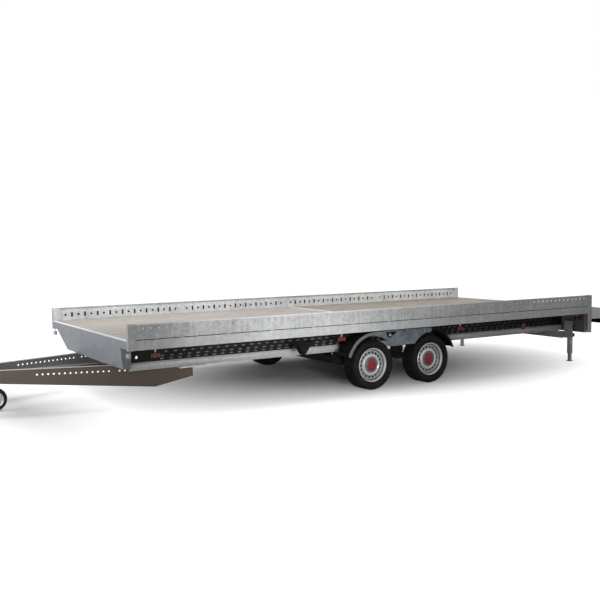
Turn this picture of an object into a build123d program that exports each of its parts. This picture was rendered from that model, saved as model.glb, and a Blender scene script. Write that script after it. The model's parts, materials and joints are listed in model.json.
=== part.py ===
from build123d import *
from math import atan, cos, degrees, hypot, pi, radians, sin, sqrt
import os

# Car transporter trailer with two axles under a flat bed.
# Millimetres, +X forward to the coupling, +Y to the trailer's left, +Z up, floor at z = 0.
# A station is the distance behind the front ends of the side rails.

# ---- driving dimensions ----
rail_length = 6140
drawbar_reach = 2050        # coupling nose in front of the side rails
tail_reach = 460            # rear light bar behind the side rails
overall_width = 2400
front_x = (drawbar_reach + rail_length + tail_reach) / 2 - drawbar_reach

sheet = 3                   # folded sheet steel
rail_top = 856
rail_width = 40
rail_shoulder = 806         # top of the rail's hollow part, with a single sheet above it
rail_skin = overall_width / 2 - sheet      # outer face of rails, inside the corner posts
split_height = 713          # joint between the side rail and the edge beam under it
edge_bottom = 625
deck_top = 710
deck_board = 18
deck_gap = 3                # play between boards and steel
apron_fold = 30             # the front sheet's top flange, level with the boards

wheel_radius = 262.5
tyre_width = 196
wheel_centre_y = 1062
rim_radius = 178
wheel_sides = 28            # flats round a tyre or rim, one of them on the floor
axle_stations = (2709, 3502)
axle_lead = 165             # axle tube in front of the wheel centres

longitudinal_y = 800        # outer face of the chassis web
longitudinal_top = 632
longitudinal_bottom = 385
boom_top = 459              # the lower boom, a folded section along the web's foot
chassis_sheet = 4

arm_front_station = -1400
arm_rear_station = 800
arm_spread = 0.31           # sideways run of a drawbar arm for each unit of length
arm_front_y = 110.5         # outer face at the front end
arm_top = 417
arm_front_bottom = 334
arm_knee_bottom = 196
arm_rear_bottom = 284
arm_knee_station = 450
arm_thickness = 5
arm_flange = 60

coupling_height = 405
ball_radius = 25.3          # socket for a 50 mm tow ball

jockey_station = -955
jockey_trail = 70
jockey_radius = 110
jockey_width = 56
jockey_sides = 16
drum_sides = 16
tube_sides = 16
jockey_play = 0.4

leg_station = 6035
leg_y = 960
leg_play = 0.4


def station(distance):
    """Row x of a station."""
    return front_x - distance


def block(start, end, y0, y1, z0, z1):
    """Box from one station to another."""
    centre = ((station(start) + station(end)) / 2, (y0 + y1) / 2, (z0 + z1) / 2)
    return Pos(*centre) * Box(end - start, abs(y1 - y0), z1 - z0)


def flipped(shape):
    """The same piece on the trailer's other side."""
    return mirror(shape, about=Plane.XZ)


def pair(shape):
    """A piece and its mirror image as two solids of one node."""
    return Compound([*shape.solids(), *flipped(shape).solids()])


def outline_face(points):
    return make_face(Polyline(*points, close=True))


def along(outline, start, end):
    """Prism between two stations, with its outline in (y, z)."""
    return extrude(Plane.YZ.offset(station(end)) * outline_face(outline), end - start)


def across(outline, y0, y1):
    """Prism from y0 to y1, with its outline in (station, z)."""
    points = [(station(s), z) for s, z in outline]
    return extrude(Plane.XZ.offset(-y1) * outline_face(points), y1 - y0)


def folded(points, thickness=sheet):
    """Closed outline of a folded sheet: the points are one face, the other lies to their left."""
    normals = []
    for (x0, y0), (x1, y1) in zip(points, points[1:]):
        length = hypot(x1 - x0, y1 - y0)
        normals.append(((y0 - y1) / length, (x1 - x0) / length))
    other = []
    for i, (x, y) in enumerate(points):
        before = normals[max(i - 1, 0)]
        after = normals[min(i, len(normals) - 1)]
        mitre = thickness / (1 + before[0] * after[0] + before[1] * after[1])
        other.append((x + (before[0] + after[0]) * mitre, y + (before[1] + after[1]) * mitre))
    return points + other[::-1]


def standing(outline, z0, z1):
    """Prism that stands on its outline in (station, y)."""
    points = [(station(s), y) for s, y in outline]
    return extrude(Plane.XY.offset(z0) * outline_face(points), z1 - z0)


def upright(radius, start, y, z0, z1):
    """Round bar standing at a station."""
    return Pos(station(start), y, (z0 + z1) / 2) * Cylinder(radius, z1 - z0)


def turned(profile, sides):
    """Lathe form about the y axis with flat facets; the profile is a closed loop of (radius, y)."""
    rings = []
    for radius, y in profile:
        corner = radius / cos(pi / sides)
        angles = [2 * pi * (k + 0.5) / sides for k in range(sides)]
        rings.append([Vector(corner * cos(a), y, corner * sin(a)) for a in angles])
    faces = []
    for near, far in zip(rings, rings[1:] + rings[:1]):
        for k in range(sides):
            after = (k + 1) % sides
            faces.append(Face(Wire.make_polygon([near[k], near[after], far[after], far[k]])))
    return Solid(Shell(faces))


def turned_along(profile, sides, y, z):
    """Faceted lathe form along the trailer; the profile is a closed loop of (radius, station)."""
    form = turned([(radius, start) for radius, start in profile], sides)
    return Pos(front_x, y, z) * Rot(0, 0, 90) * form


def faceted_post(radius, start, y, z0, z1, sides):
    """Standing bar with flats."""
    return extrude(Plane.XY.offset(z0) * Pos(station(start), y) * RegularPolygon(radius, sides), z1 - z0)


def faceted_disc(radius, start, y0, y1, z, sides):
    """Bar or drum with flats, across the trailer."""
    face = Pos(station(start), z) * RegularPolygon(radius, sides)
    return extrude(Plane.XZ.offset(-y1) * face, y1 - y0)


# ---- side rails ----
hole_pitch = 75
first_hole = 143
group_length = 20           # places in a group, of which the last is bare
group_count = 4
hole_z = 774
hole_radius = 12
slot_width = 19
slot_height = 50
rail_lip = 15
rail_lip_drop = 9


def rail_holes():
    """Round hole and upright key slot in turn, with a bare place after each group."""
    holes = Sketch()
    for group in range(group_count):
        for place in range(group_length - 1):
            x = station(first_hole + hole_pitch * (group * group_length + place))
            if place % 2:
                holes += Pos(x, hole_z) * Rectangle(slot_width, slot_height)
            else:
                holes += Pos(x, hole_z) * RegularPolygon(hole_radius, 6)
    return holes


def side_rail():
    """Upper rail: a hollow foot whose inner wall has the strap holes, and a lipped sheet above it."""
    inner = rail_skin - rail_width
    wall = rail_skin - sheet
    lip = rail_skin - rail_lip
    bottom = split_height + 2
    outline = [(inner, bottom), (rail_skin, bottom), (rail_skin, rail_top), (lip, rail_top),
               (lip, rail_top - rail_lip_drop), (lip + sheet, rail_top - rail_lip_drop),
               (lip + sheet, rail_top - sheet), (wall, rail_top - sheet), (wall, rail_shoulder),
               (inner, rail_shoulder)]
    body = along(outline, sheet, rail_length - sheet)
    hollow = block(sheet - 1, rail_length - sheet + 1, inner + sheet, wall,
                   bottom + sheet, rail_shoulder - sheet)
    cutters = extrude(Plane.XZ.offset(-inner - sheet - 2) * rail_holes(), sheet + 4)
    return body - hollow - cutters


def edge_beam():
    """Box section under a side rail, which frames the deck."""
    inner = rail_skin - rail_width
    body = block(sheet, rail_length - sheet, inner, rail_skin, edge_bottom, split_height)
    hollow = block(sheet - 1, rail_length - sheet + 1, inner + sheet, rail_skin - sheet,
                   edge_bottom + sheet, split_height - sheet)
    return body - hollow


post_length = 75
rear_post_bottom = 385


def corner_post(start, bottom, outer_station):
    """Folded post which caps the end of a rail and its edge beam."""
    inner = rail_skin - rail_width - sheet
    post = block(start, start + post_length, inner, overall_width / 2, bottom, rail_top)
    cavity = block(start - 1, start + post_length + 1, inner + sheet, rail_skin,
                   bottom - 1, rail_top + 1)
    end = block(outer_station, outer_station + sheet, inner, overall_width / 2, bottom, rail_top)
    return post - cavity + end


def corner_posts():
    front = corner_post(0, edge_bottom, 0)
    rear = corner_post(rail_length - post_length, rear_post_bottom, rail_length - sheet)
    return Compound([*pair(front).solids(), *pair(rear).solids()])


# ---- deck ----
deck_split = 3145
strip_width = 40
strip_rise = 2              # the joint strip stands this much proud of the boards
tail_end = 6540
tail_drop = 50
tail_lip = 45
tail_plate = 6


def deck_half():
    """Half width of the boards, inside the corner posts."""
    return rail_skin - rail_width - sheet - deck_gap


def deck_panel(start, end):
    return block(start, end, -deck_half(), deck_half(), deck_top - deck_board, deck_top)


def deck_joint_strip():
    """Channel between the two boards, a little proud of them."""
    half = deck_half()
    bottom = deck_top - deck_board
    start = deck_split - strip_width / 2
    end = deck_split + strip_width / 2
    top = deck_top + strip_rise
    points = [(start, bottom), (start, top), (end, top), (end, bottom)]
    return across(folded(points, -strip_rise), -half, half)


def loading_tail():
    """Sloped tail plate with a turned-down rear lip."""
    edge = deck_top - tail_drop
    points = [(tail_end, edge - tail_lip), (tail_end, edge), (rail_length, deck_top)]
    return across(folded(points, tail_plate), -deck_half(), deck_half())


# ---- chassis ----
longitudinal_start = 150
longitudinal_end = 6060
flange = 60
web_lap = 30                # how far the web reaches down behind the boom
boom_stand = 14             # how far the boom stands out from the web
boom_slope = 32             # height of the boom's sloped foot
boom_shoulder = 12          # where the boom turns back to the web, below its top


def longitudinal():
    """Tall side member: top flange and web."""
    y = longitudinal_y
    points = [(y - flange, longitudinal_top), (y, longitudinal_top), (y, boom_top - web_lap)]
    return along(folded(points, -chassis_sheet), longitudinal_start, longitudinal_end)


def lower_boom():
    """Folded boom on the foot of the web, with the bottom flange."""
    y = longitudinal_y
    z = longitudinal_bottom
    lip = y + chassis_sheet
    face = y + boom_stand
    points = [(y - flange, z), (y + 1, z), (face, z + boom_slope), (face, boom_top - boom_shoulder),
              (lip, boom_top - boom_shoulder / 2), (lip, boom_top)]
    boom = along(folded(points, chassis_sheet), longitudinal_start, longitudinal_end)
    arm_room = block(longitudinal_start - 1, arm_rear_station + 10, y - flange - 1, y - chassis_sheet - 1,
                     z - 1, z + chassis_sheet + 1)
    return boom - arm_room


cross_first = 100
cross_pitch = 490
cross_count = 13
cross_width = 40


def cross_members():
    """Channels under the deck, side to side between the edge beams."""
    half = rail_skin - rail_width
    top = deck_top - deck_board
    solids = []
    for i in range(cross_count):
        middle = cross_first + i * cross_pitch
        channel = block(middle - cross_width / 2, middle + cross_width / 2, -half, half,
                        longitudinal_top, top)
        hollow = block(middle - cross_width / 2 + chassis_sheet, middle + cross_width / 2 + 1, -half - 1,
                       half + 1, longitudinal_top + chassis_sheet, top - chassis_sheet)
        solids.append((channel - hollow).solid())
    return Compound(solids)


rear_plate_station = 6100
rear_plate_flange = 28


def rear_cross_member():
    """Tall rear plate between the rear corner posts."""
    half = rail_skin - rail_width - sheet
    start = rear_plate_station - rear_plate_flange
    end = rear_plate_station
    top = edge_bottom - sheet
    points = [(start, top), (end, top), (end, rear_post_bottom), (start, rear_post_bottom)]
    return across(folded(points, chassis_sheet), -half, half)


leg_beam_start = 5930
leg_beam_end = 5990
leg_beam_bottom = 300
leg_beam_half = 930


def leg_beam():
    """Deep cross beam that carries the rear legs under the longitudinals."""
    top = longitudinal_bottom
    points = [(leg_beam_start, leg_beam_bottom), (leg_beam_start, top), (leg_beam_end, top),
              (leg_beam_end, leg_beam_bottom)]
    return across(folded(points, -chassis_sheet), -leg_beam_half, leg_beam_half)


apron_fold_bottom = deck_top - 75
apron_lean = 70
apron_side_half = 1000
apron_bottom_half = 867
cheek_top = 100             # station of a cheek's upper rear corner
cheek_rear = 146            # station of its lower rear corner
overcut = 20                # how far a cutting form reaches past what it cuts


def apron_sides(outer, inner):
    """Outline in (y, z) of the leaning sheet between two lines along its tapered side."""
    return [(apron_side_half - outer, apron_fold_bottom), (apron_bottom_half - outer, arm_top),
            (apron_bottom_half - inner, arm_top), (apron_side_half - inner, apron_fold_bottom)]


def front_apron():
    """Front sheet, folded back level with the deck and leaning back below to rest on the arms."""
    half = deck_half()
    top = deck_top
    fold = across(folded([(apron_fold, top), (0, top), (0, apron_fold_bottom)]), -half, half)
    slope = across(folded([(0, apron_fold_bottom), (apron_lean, arm_top)]), -half, half)
    side = apron_sides(0, 0)[:2]
    shape = [(-y, z) for y, z in side] + side[::-1]
    trimmed = slope & along(shape, -overcut, apron_lean + overcut)
    cheek_side = [(sheet, longitudinal_top), (cheek_top, longitudinal_top), (cheek_rear, arm_top),
                  (apron_lean, arm_top)]
    cheek = across(cheek_side, 0, half) & along(apron_sides(0, sheet), -overcut, cheek_rear + overcut)
    return (fold + trimmed + cheek + flipped(cheek)).solid()


# ---- drawbar ----
def arm_angle():
    return degrees(atan(arm_spread))


def arm_outer_y(at):
    return arm_front_y + arm_spread * (at - arm_front_station)


def drawbar_arm():
    """Tapered C-section arm, open to the inside, deepest at its knee."""
    stretch = sqrt(1 + arm_spread ** 2)
    length = (arm_rear_station - arm_front_station) * stretch
    knee = (arm_knee_station - arm_front_station) * stretch
    t = arm_thickness
    profile = [(0, arm_front_bottom), (knee, arm_knee_bottom), (length, arm_rear_bottom),
               (length, arm_top), (0, arm_top)]
    inside = [(-t, arm_front_bottom + t), (knee, arm_knee_bottom + t), (length + t, arm_rear_bottom + t),
              (length + t, arm_top - t), (-t, arm_top - t)]
    solid = extrude(Plane.XZ * outline_face([(-u, z) for u, z in profile]), arm_flange)
    hollow = Pos(0, -t, 0) * extrude(Plane.XZ * outline_face([(-u, z) for u, z in inside]), arm_flange)
    arm = solid - hollow
    return Pos(station(arm_front_station), arm_front_y, 0) * Rot(0, 0, -arm_angle()) * arm


bridge_bottom = 385
bridge_half = 45            # half length of a bridge along the trailer
bridge_sheet = 5
rear_bridge_station = 300
weld_gap = 0.3


def drawbar_bridges():
    """Two channels between the arms' webs; the front one carries the jockey wheel."""
    top = arm_top - arm_thickness
    web = arm_thickness * sqrt(1 + arm_spread ** 2) + weld_gap
    tube_hole = faceted_post(jockey_tube_radius + 2, jockey_station, 0, bridge_bottom, arm_top, tube_sides)
    solids = []
    for at in (jockey_station, rear_bridge_station):
        start = at - bridge_half
        end = at + bridge_half
        near = arm_outer_y(start) - web
        far = arm_outer_y(end) - web
        channel = standing([(start, -near), (end, -far), (end, far), (start, near)], bridge_bottom, top)
        hollow = block(start + bridge_sheet, end - bridge_sheet, -far - 1, far + 1,
                       bridge_bottom - 1, top - bridge_sheet)
        solids.append((channel - hollow - tube_hole).solid())
    return Compound(solids)


clamp_start = 650
clamp_end = 940
clamp_thickness = 14
clamp_outer = longitudinal_y + 22
hanger_station = 84
hanger_depth = 34
hanger_width = 40
hanger_y = 544              # middle of an arm's top flange at the hangers


def drawbar_clamps():
    """Plates and channel hangers which fix the arms to the longitudinals and the first cross member."""
    inner = longitudinal_y - flange
    behind = arm_rear_station + arm_spread * (arm_outer_y(arm_rear_station) - inner) + 1
    outline = [(clamp_start, arm_outer_y(clamp_start) + weld_gap),
               (arm_rear_station, arm_outer_y(arm_rear_station) + weld_gap),
               (behind, inner), (clamp_end, inner), (clamp_end, clamp_outer), (clamp_start, clamp_outer)]
    plate = standing(outline, longitudinal_bottom - clamp_thickness, longitudinal_bottom)
    start = hanger_station
    end = hanger_station + hanger_depth
    low = hanger_y - hanger_width / 2
    high = hanger_y + hanger_width / 2
    channel = folded([(end, low), (start, low), (start, high), (end, high)], -chassis_sheet)
    hanger = standing(channel, arm_top, longitudinal_top)
    return Compound([*pair(plate).solids(), *pair(hanger).solids()])


# ---- overrun device and coupling ----
drawbar_tube_radius = 34
housing_start = -1575
housing_end = -1120
gaiter_start = -1735
housing_radius = 42
collar_radius = 48
slide_play = 0.4
seat_half = 44
seat_start = -1440
seat_end = -1140
ear_thickness = 8
ear_inset = 5               # how far the flared plate stays inside the arms' outer faces
ear_start = -1395
ear_end = -1160


def faceted_bar(radius, start, end):
    """Bar along the trailer at coupling height; radius is to its flats."""
    face = Pos(0, coupling_height) * RegularPolygon(radius, tube_sides, major_radius=False)
    return extrude(Plane.YZ.offset(station(end)) * face, end - start)


def overrun_housing():
    """Cast housing round the sliding tube, with a flared plate that is bolted on top of both arms."""
    tube = faceted_bar(housing_radius, housing_start, housing_end)
    collar = faceted_bar(collar_radius, housing_start, housing_start + 30)
    seat = block(seat_start, seat_end, -seat_half, seat_half, coupling_height - collar_radius, arm_top)
    near = arm_outer_y(ear_start) - ear_inset
    far = arm_outer_y(ear_end) - ear_inset
    half = [(seat_start, seat_half), (ear_start, near), (ear_end, far)]
    ears = standing([(s, -y) for s, y in half] + half[::-1], arm_top, arm_top + ear_thickness)
    bore = faceted_bar(drawbar_tube_radius + slide_play, housing_start - 1, housing_end + 1)
    return tube + collar + seat + ears - bore


gaiter_folds = 3
gaiter_valley = 38
gaiter_peak = 46


def gaiter():
    """Bellows over the sliding drawbar tube."""
    inner = drawbar_tube_radius + 1
    fold = (housing_start - gaiter_start) / gaiter_folds
    profile = [(inner, gaiter_start)]
    for i in range(gaiter_folds):
        at = gaiter_start + fold * i
        profile += [(gaiter_valley, at), (gaiter_peak, at + fold / 2)]
    profile += [(gaiter_valley, housing_start), (inner, housing_start)]
    return turned_along(profile, tube_sides, 0, coupling_height)


ball_station = 42 - drawbar_reach
head_station = -1900        # where the head meets its tube
head_radius = 40
head_drop = 24              # from the tube's axis to the head's foot
head_height = 56
neck_top = coupling_height + 30
socket_depth = 30


def coupling_head():
    """Pressed head on the sliding tube: clamp collar and neck, down to the ball socket."""
    foot = coupling_height - head_drop
    tube = faceted_bar(drawbar_tube_radius, head_station, housing_end)
    collar = faceted_bar(head_radius, head_station, head_station + 100)
    dome = faceted_post(head_radius, ball_station, 0, foot, foot + head_height, drum_sides)
    neck = block(-1985, head_station + 20, -30, 30, foot + 2, neck_top)
    socket = upright(ball_radius, ball_station, 0, foot, foot + socket_depth)
    return collar + tube + neck + dome - socket


def coupling_handle():
    """Release handle, lying back over the neck."""
    z = neck_top
    points = [(-1960, z), (-1900, z + 62), (-1800, z + 70), (-1800, z + 60), (-1896, z + 52), (-1950, z)]
    return across(points, -14, 14)


def handbrake_lever():
    """Parking brake lever, drawn up."""
    foot = arm_top + ear_thickness
    bar_top = 760
    grip_top = 880
    lever = across([(-1330, foot), (-1290, foot), (-1270, bar_top), (-1300, bar_top)], 48, 56)
    grip = across([(-1303, bar_top), (-1267, bar_top), (-1262, grip_top), (-1298, grip_top)], 40, 64)
    return lever + grip


rod_y = 62
rod_z = 378
rod_half = 5
rod_lever_station = seat_end - 22
rod_post_station = 2508     # on the front axle's tube


def brake_rod():
    """Rod from the overrun lever, on the housing's side, to the axles."""
    y = rod_y
    z = rod_z
    lever_end = rod_lever_station + 12
    rod = block(lever_end, rod_post_station + 6, y - rod_half, y + rod_half, z - rod_half, z + rod_half)
    lever = block(rod_lever_station, lever_end, seat_half, y + 10, z - 14, z + 14)
    post = block(rod_post_station, rod_post_station + 12, y - 12, y + 12, wheel_radius + 60, z + 12)
    return rod + lever + post


# ---- jockey wheel ----
jockey_tube_bottom = 378
jockey_tube_top = 800
jockey_tube_radius = 24
stem_radius = 21
stem_bottom = 248
stem_top = 640
clamp_half = 39
clamp_ring_half = 34
clamp_height = 40
crank_reach = 120
crank_half = 10
grip_radius = 11
grip_height = 90


def jockey_tube():
    """Outer tube with its clamp ring on the bridge and a crank on top, turned forward."""
    x = jockey_station
    top = jockey_tube_top
    tube = faceted_post(jockey_tube_radius, x, 0, jockey_tube_bottom, top, tube_sides)
    bore = upright(stem_radius + jockey_play, x, 0, jockey_tube_bottom - 1, top - crank_half)
    ring_bottom = arm_top - arm_thickness
    clamp = block(x - clamp_half, x + clamp_half, -clamp_ring_half, clamp_ring_half,
                  ring_bottom, ring_bottom + clamp_height)
    crank = block(x - crank_reach, x + 12, -crank_half, crank_half, top, top + crank_half)
    foot = top + crank_half
    grip = faceted_post(grip_radius, x - crank_reach + 10, 0, foot, foot + grip_height, 8)
    return tube + clamp + crank + grip - bore


def jockey_stem():
    """Inner tube driven by the screw."""
    return upright(stem_radius, jockey_station, 0, stem_bottom, stem_top)


crown_half = 32
crown_height = 12
fork_outer = 40
fork_sheet = 5
pin_radius = 8


def jockey_fork():
    """Swivelling fork with the wheel's axle pin."""
    at = jockey_station + jockey_trail
    z = jockey_radius
    front = jockey_station - crown_half
    rear = jockey_station + crown_half
    crown = block(front, rear, -fork_outer, fork_outer, stem_bottom - crown_height, stem_bottom)
    top = stem_bottom - crown_height / 2
    side = [(front, top), (rear, top), (at + 22, z + 10), (at + 22, z - 20), (at - 22, z - 20),
            (front, 200)]
    cheek = across(side, fork_outer - fork_sheet, fork_outer)
    pin = faceted_disc(pin_radius, at, -fork_outer, fork_outer, z, 8)
    return crown + cheek + flipped(cheek) + pin


def jockey_wheel():
    """Solid rubber tyre on a small disc, bored for its pin."""
    half = jockey_width / 2
    at = Pos(station(jockey_station + jockey_trail), 0, jockey_radius)
    r = jockey_radius
    bore = pin_radius + 0.5
    outer = [(bore, 30), (32, 30), (36, 12), (70, 12), (76, half), (r - 8, half), (r, half - 14)]
    return at * turned(outer + [(radius, -y) for radius, y in outer[::-1]], jockey_sides)


# ---- axles ----
axle_rise = 20              # axle tube above the wheel centres
axle_half = longitudinal_y + 25
axle_tube = 40              # half side of the square tube
trailing_arm = 36           # thickness of a trailing arm
drum_radius = 115
drum_width = 74
axle_seat = 60              # half length of the seat under a longitudinal


def axle(wheel_station):
    """Rubber-sprung axle: square tube, trailing arms, brake drums and seats."""
    at = wheel_station - axle_lead
    z = wheel_radius + axle_rise
    arm_y = axle_half + trailing_arm
    tube = block(at - axle_tube, at + axle_tube, -axle_half, axle_half, z - axle_tube, z + axle_tube)
    hub_end = wheel_station + 26
    side = [(at - 30, z + 24), (at + 30, z + 30), (hub_end, wheel_radius + 26),
            (hub_end, wheel_radius - 26), (at - 30, z - 28)]
    arm = across(side, axle_half, arm_y)
    drum = faceted_disc(drum_radius, wheel_station, arm_y, arm_y + drum_width, wheel_radius, drum_sides)
    seat = block(at - axle_seat, at + axle_seat, longitudinal_y - 70, longitudinal_y + 10,
                 z + axle_tube, longitudinal_bottom)
    end = arm + drum + seat
    return tube + end + flipped(end)


# ---- wheels ----
def wheel_place(wheel_station, side):
    return Pos(station(wheel_station), side * wheel_centre_y, wheel_radius)


def tyre(side):
    half = tyre_width / 2
    seat = rim_radius
    outer = [(seat, 76), (224, half), (252, half - 9), (wheel_radius, half - 28)]
    points = outer + [(r, -y) for r, y in outer[::-1]]
    return turned([(r, side * y) for r, y in points], wheel_sides)


vent_count = 18
vent_radius = 132
vent_size = 19
hub_radius = 60
hub_inner = -122            # inner end of the hub, clear of the drum
hub_outer = 30              # its outer end, within the disc
hub_sides = 12


def hub(side):
    """Plain hub from the wheel's disc back to just clear of the brake drum."""
    start, end = sorted((side * hub_inner, side * hub_outer))
    return extrude(Plane.XZ.offset(-end) * RegularPolygon(hub_radius, hub_sides), end - start)


def rim(side):
    """Steel wheel on its hub: barrel, vented disc, raised ring and a domed hub cap."""
    r = rim_radius
    points = [(r, -76), (r, 80), (r - 9, 80), (153, 40), (111, 36), (104, 56), (80, 60), (2, 72), (2, 22),
              (153, 22), (r - 12, -76)]
    wheel = turned([(radius, side * y) for radius, y in points], wheel_sides) + hub(side)
    vents = Sketch()
    for i in range(vent_count):
        vents += Rot(0, 0, i * 360 / vent_count) * Pos(vent_radius, 0) * Rectangle(vent_size, vent_size)
    cutter = extrude(Plane.XZ * vents, 60, both=True)
    return wheel - cutter


# ---- mudguards ----
guard_radius = 345
guard_thickness = 4
guard_inner_y = 950
guard_outer_y = 1164
guard_low = 19              # degrees above the wheel centre at both ends
guard_steps = 5
guard_hangers = (3040, 3530)
guard_hanger_half = 14
guard_hanger_y = (1000, 1100)


def guard_arc(wheel_station, end, radius):
    """Quarter round over a wheel, from the top down; end is 1 at the front and -1 at the rear."""
    places = []
    for k in range(guard_steps + 1):
        turn = radians(90 - (90 - guard_low) * k / guard_steps)
        x = station(wheel_station) + end * radius * cos(turn)
        places.append((x, wheel_radius + radius * sin(turn)))
    return places


def mudguard():
    """One guard over both wheels of a side: quarter rounds joined by a flat top, on two hangers."""
    front, rear = axle_stations
    outside = guard_radius + guard_thickness
    inner_edge = guard_arc(front, 1, guard_radius)[::-1] + guard_arc(rear, -1, guard_radius)
    outer_edge = guard_arc(front, 1, outside)[::-1] + guard_arc(rear, -1, outside)
    face = outline_face(inner_edge + outer_edge[::-1])
    guard = extrude(Plane.XZ.offset(-guard_outer_y) * face, guard_outer_y - guard_inner_y)
    for at in guard_hangers:
        guard += block(at - guard_hanger_half, at + guard_hanger_half, *guard_hanger_y,
                       wheel_radius + guard_radius + 1, longitudinal_top)
    return guard


wheel_plate_foot = 452
plate_clearance = 42        # from a tyre to the plate's cut-out


def wheel_plate():
    """Plate between the two wheels, cut round both tyres."""
    front, rear = axle_stations
    top = wheel_radius + guard_radius + guard_thickness
    y = guard_outer_y
    plate = block(front, rear, y, y + sheet, wheel_plate_foot, top)
    for at in axle_stations:
        plate -= faceted_disc(wheel_radius + plate_clearance, at, y - 1, y + sheet + 1, wheel_radius, 40)
    return plate.solid()


# ---- lamps and small parts ----
hanger_sheet = 6
beam_seat_y = 1170          # where hangers are fixed under the edge beams
marker_stations = (290, 2340, 3990, 6005)
marker_half = 52
marker_bottom = 536
marker_top = 584
marker_back = 1085
marker_face = 1110


def beam_hanger(start, end, y, bottom):
    """Folded strip which hangs from the foot of an edge beam."""
    outline = folded([(y, bottom), (y, edge_bottom), (beam_seat_y, edge_bottom)], -hanger_sheet)
    return along(outline, start, end)


def side_marker_lamps():
    """Amber lamps along both sides, on angled hangers under the edge beams."""
    solids = []
    for at in marker_stations:
        lamp = block(at - marker_half, at + marker_half, marker_back, marker_face,
                     marker_bottom, marker_top)
        hanger = beam_hanger(at - 8, at + 8, marker_face - 12, marker_top)
        solids += pair(lamp + hanger).solids()
    return Compound(solids)


def front_position_lamps():
    """Small white lamps hung under the front corners."""
    bottom = 556
    top = 600
    lamp = block(5, 33, 1120, 1180, bottom, top)
    stalk = block(14, 24, 1165, 1177, top, edge_bottom)
    return pair(lamp + stalk)


reflector_station = 5010
reflector_radius = 40
reflector_z = 526
reflector_y = 1106


def side_reflectors():
    """Round red reflectors on stalks near the rear of both sides."""
    at = reflector_station
    y = reflector_y
    disc = faceted_disc(reflector_radius, at, y, y + 8, reflector_z, drum_sides)
    stalk = block(at - 8, at + 8, y - 6, y, reflector_z - 26, longitudinal_top)
    return pair(disc + stalk)


chock_start = 1795
chock_end = 1990
chock_top = 560
chock_foot = 425
chock_y = (1000, 1100)


def wheel_chocks():
    """Folded chocks hung in front of the mudguards."""
    fold = (chock_start + chock_end) / 2 - 2.5
    points = [(chock_start, chock_top), (fold, chock_foot), (chock_end, chock_top)]
    chock = across(folded(points, hanger_sheet), *chock_y)
    return pair(chock + beam_hanger(chock_start + 2, chock_start + 14, 1050, chock_top - 4))


bar_start = tail_end + 10
bar_end = tail_end + 60
bar_bottom = 519
bar_top = 634
bar_half = overall_width / 2 - 20
bracket_half = 20
bracket_bottom = 555
bracket_top = 615


def rear_light_bar():
    """Channel across the tail, behind the loading plate."""
    points = [(bar_end, bar_top), (bar_start, bar_top), (bar_start, bar_bottom), (bar_end, bar_bottom)]
    return across(folded(points, chassis_sheet), -bar_half, bar_half)


def tail_brackets():
    """Short bearers from the rear cross plate to the light bar."""
    solids = []
    for y in (-980, -400, 400, 980):
        bearer = block(rear_plate_station + chassis_sheet, bar_start, y - bracket_half, y + bracket_half,
                       bracket_bottom, bracket_top)
        solids.append(bearer.solid())
    return Compound(solids)


lamp_cluster_y = (880, 1120)
lamp_cluster_bottom = 465


def tail_lamps():
    """Lamp clusters under the ends of the light bar."""
    return pair(block(bar_start, bar_end - 2, *lamp_cluster_y, lamp_cluster_bottom, bar_bottom))


# ---- rear legs ----
leg_tube_bottom = 101
leg_tube_top = 420
leg_tube_half = 25
leg_half = 18
leg_top = 400
foot_half = 32
foot_plate = 8
leg_plate_top = 520


def leg_block(half, z0, z1):
    """Upright square form round a leg's axis."""
    return block(leg_station - half, leg_station + half, leg_y - half, leg_y + half, z0, z1)


def leg_tubes():
    """Square outer tubes on plates at the leg beam's ends."""
    outer = leg_block(leg_tube_half, leg_tube_bottom, leg_tube_top)
    hole = leg_block(leg_half + leg_play, leg_tube_bottom - 1, leg_tube_top + 1)
    plate = block(leg_beam_end + chassis_sheet, leg_station - leg_tube_half, leg_y - 60, leg_y + 60,
                  leg_beam_bottom, leg_plate_top)
    return pair(outer + plate - hole)


def leg():
    """Sliding inner tube with its foot plate."""
    return leg_block(leg_half, foot_plate - 2, leg_top) + leg_block(foot_half, 0, foot_plate)


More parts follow.
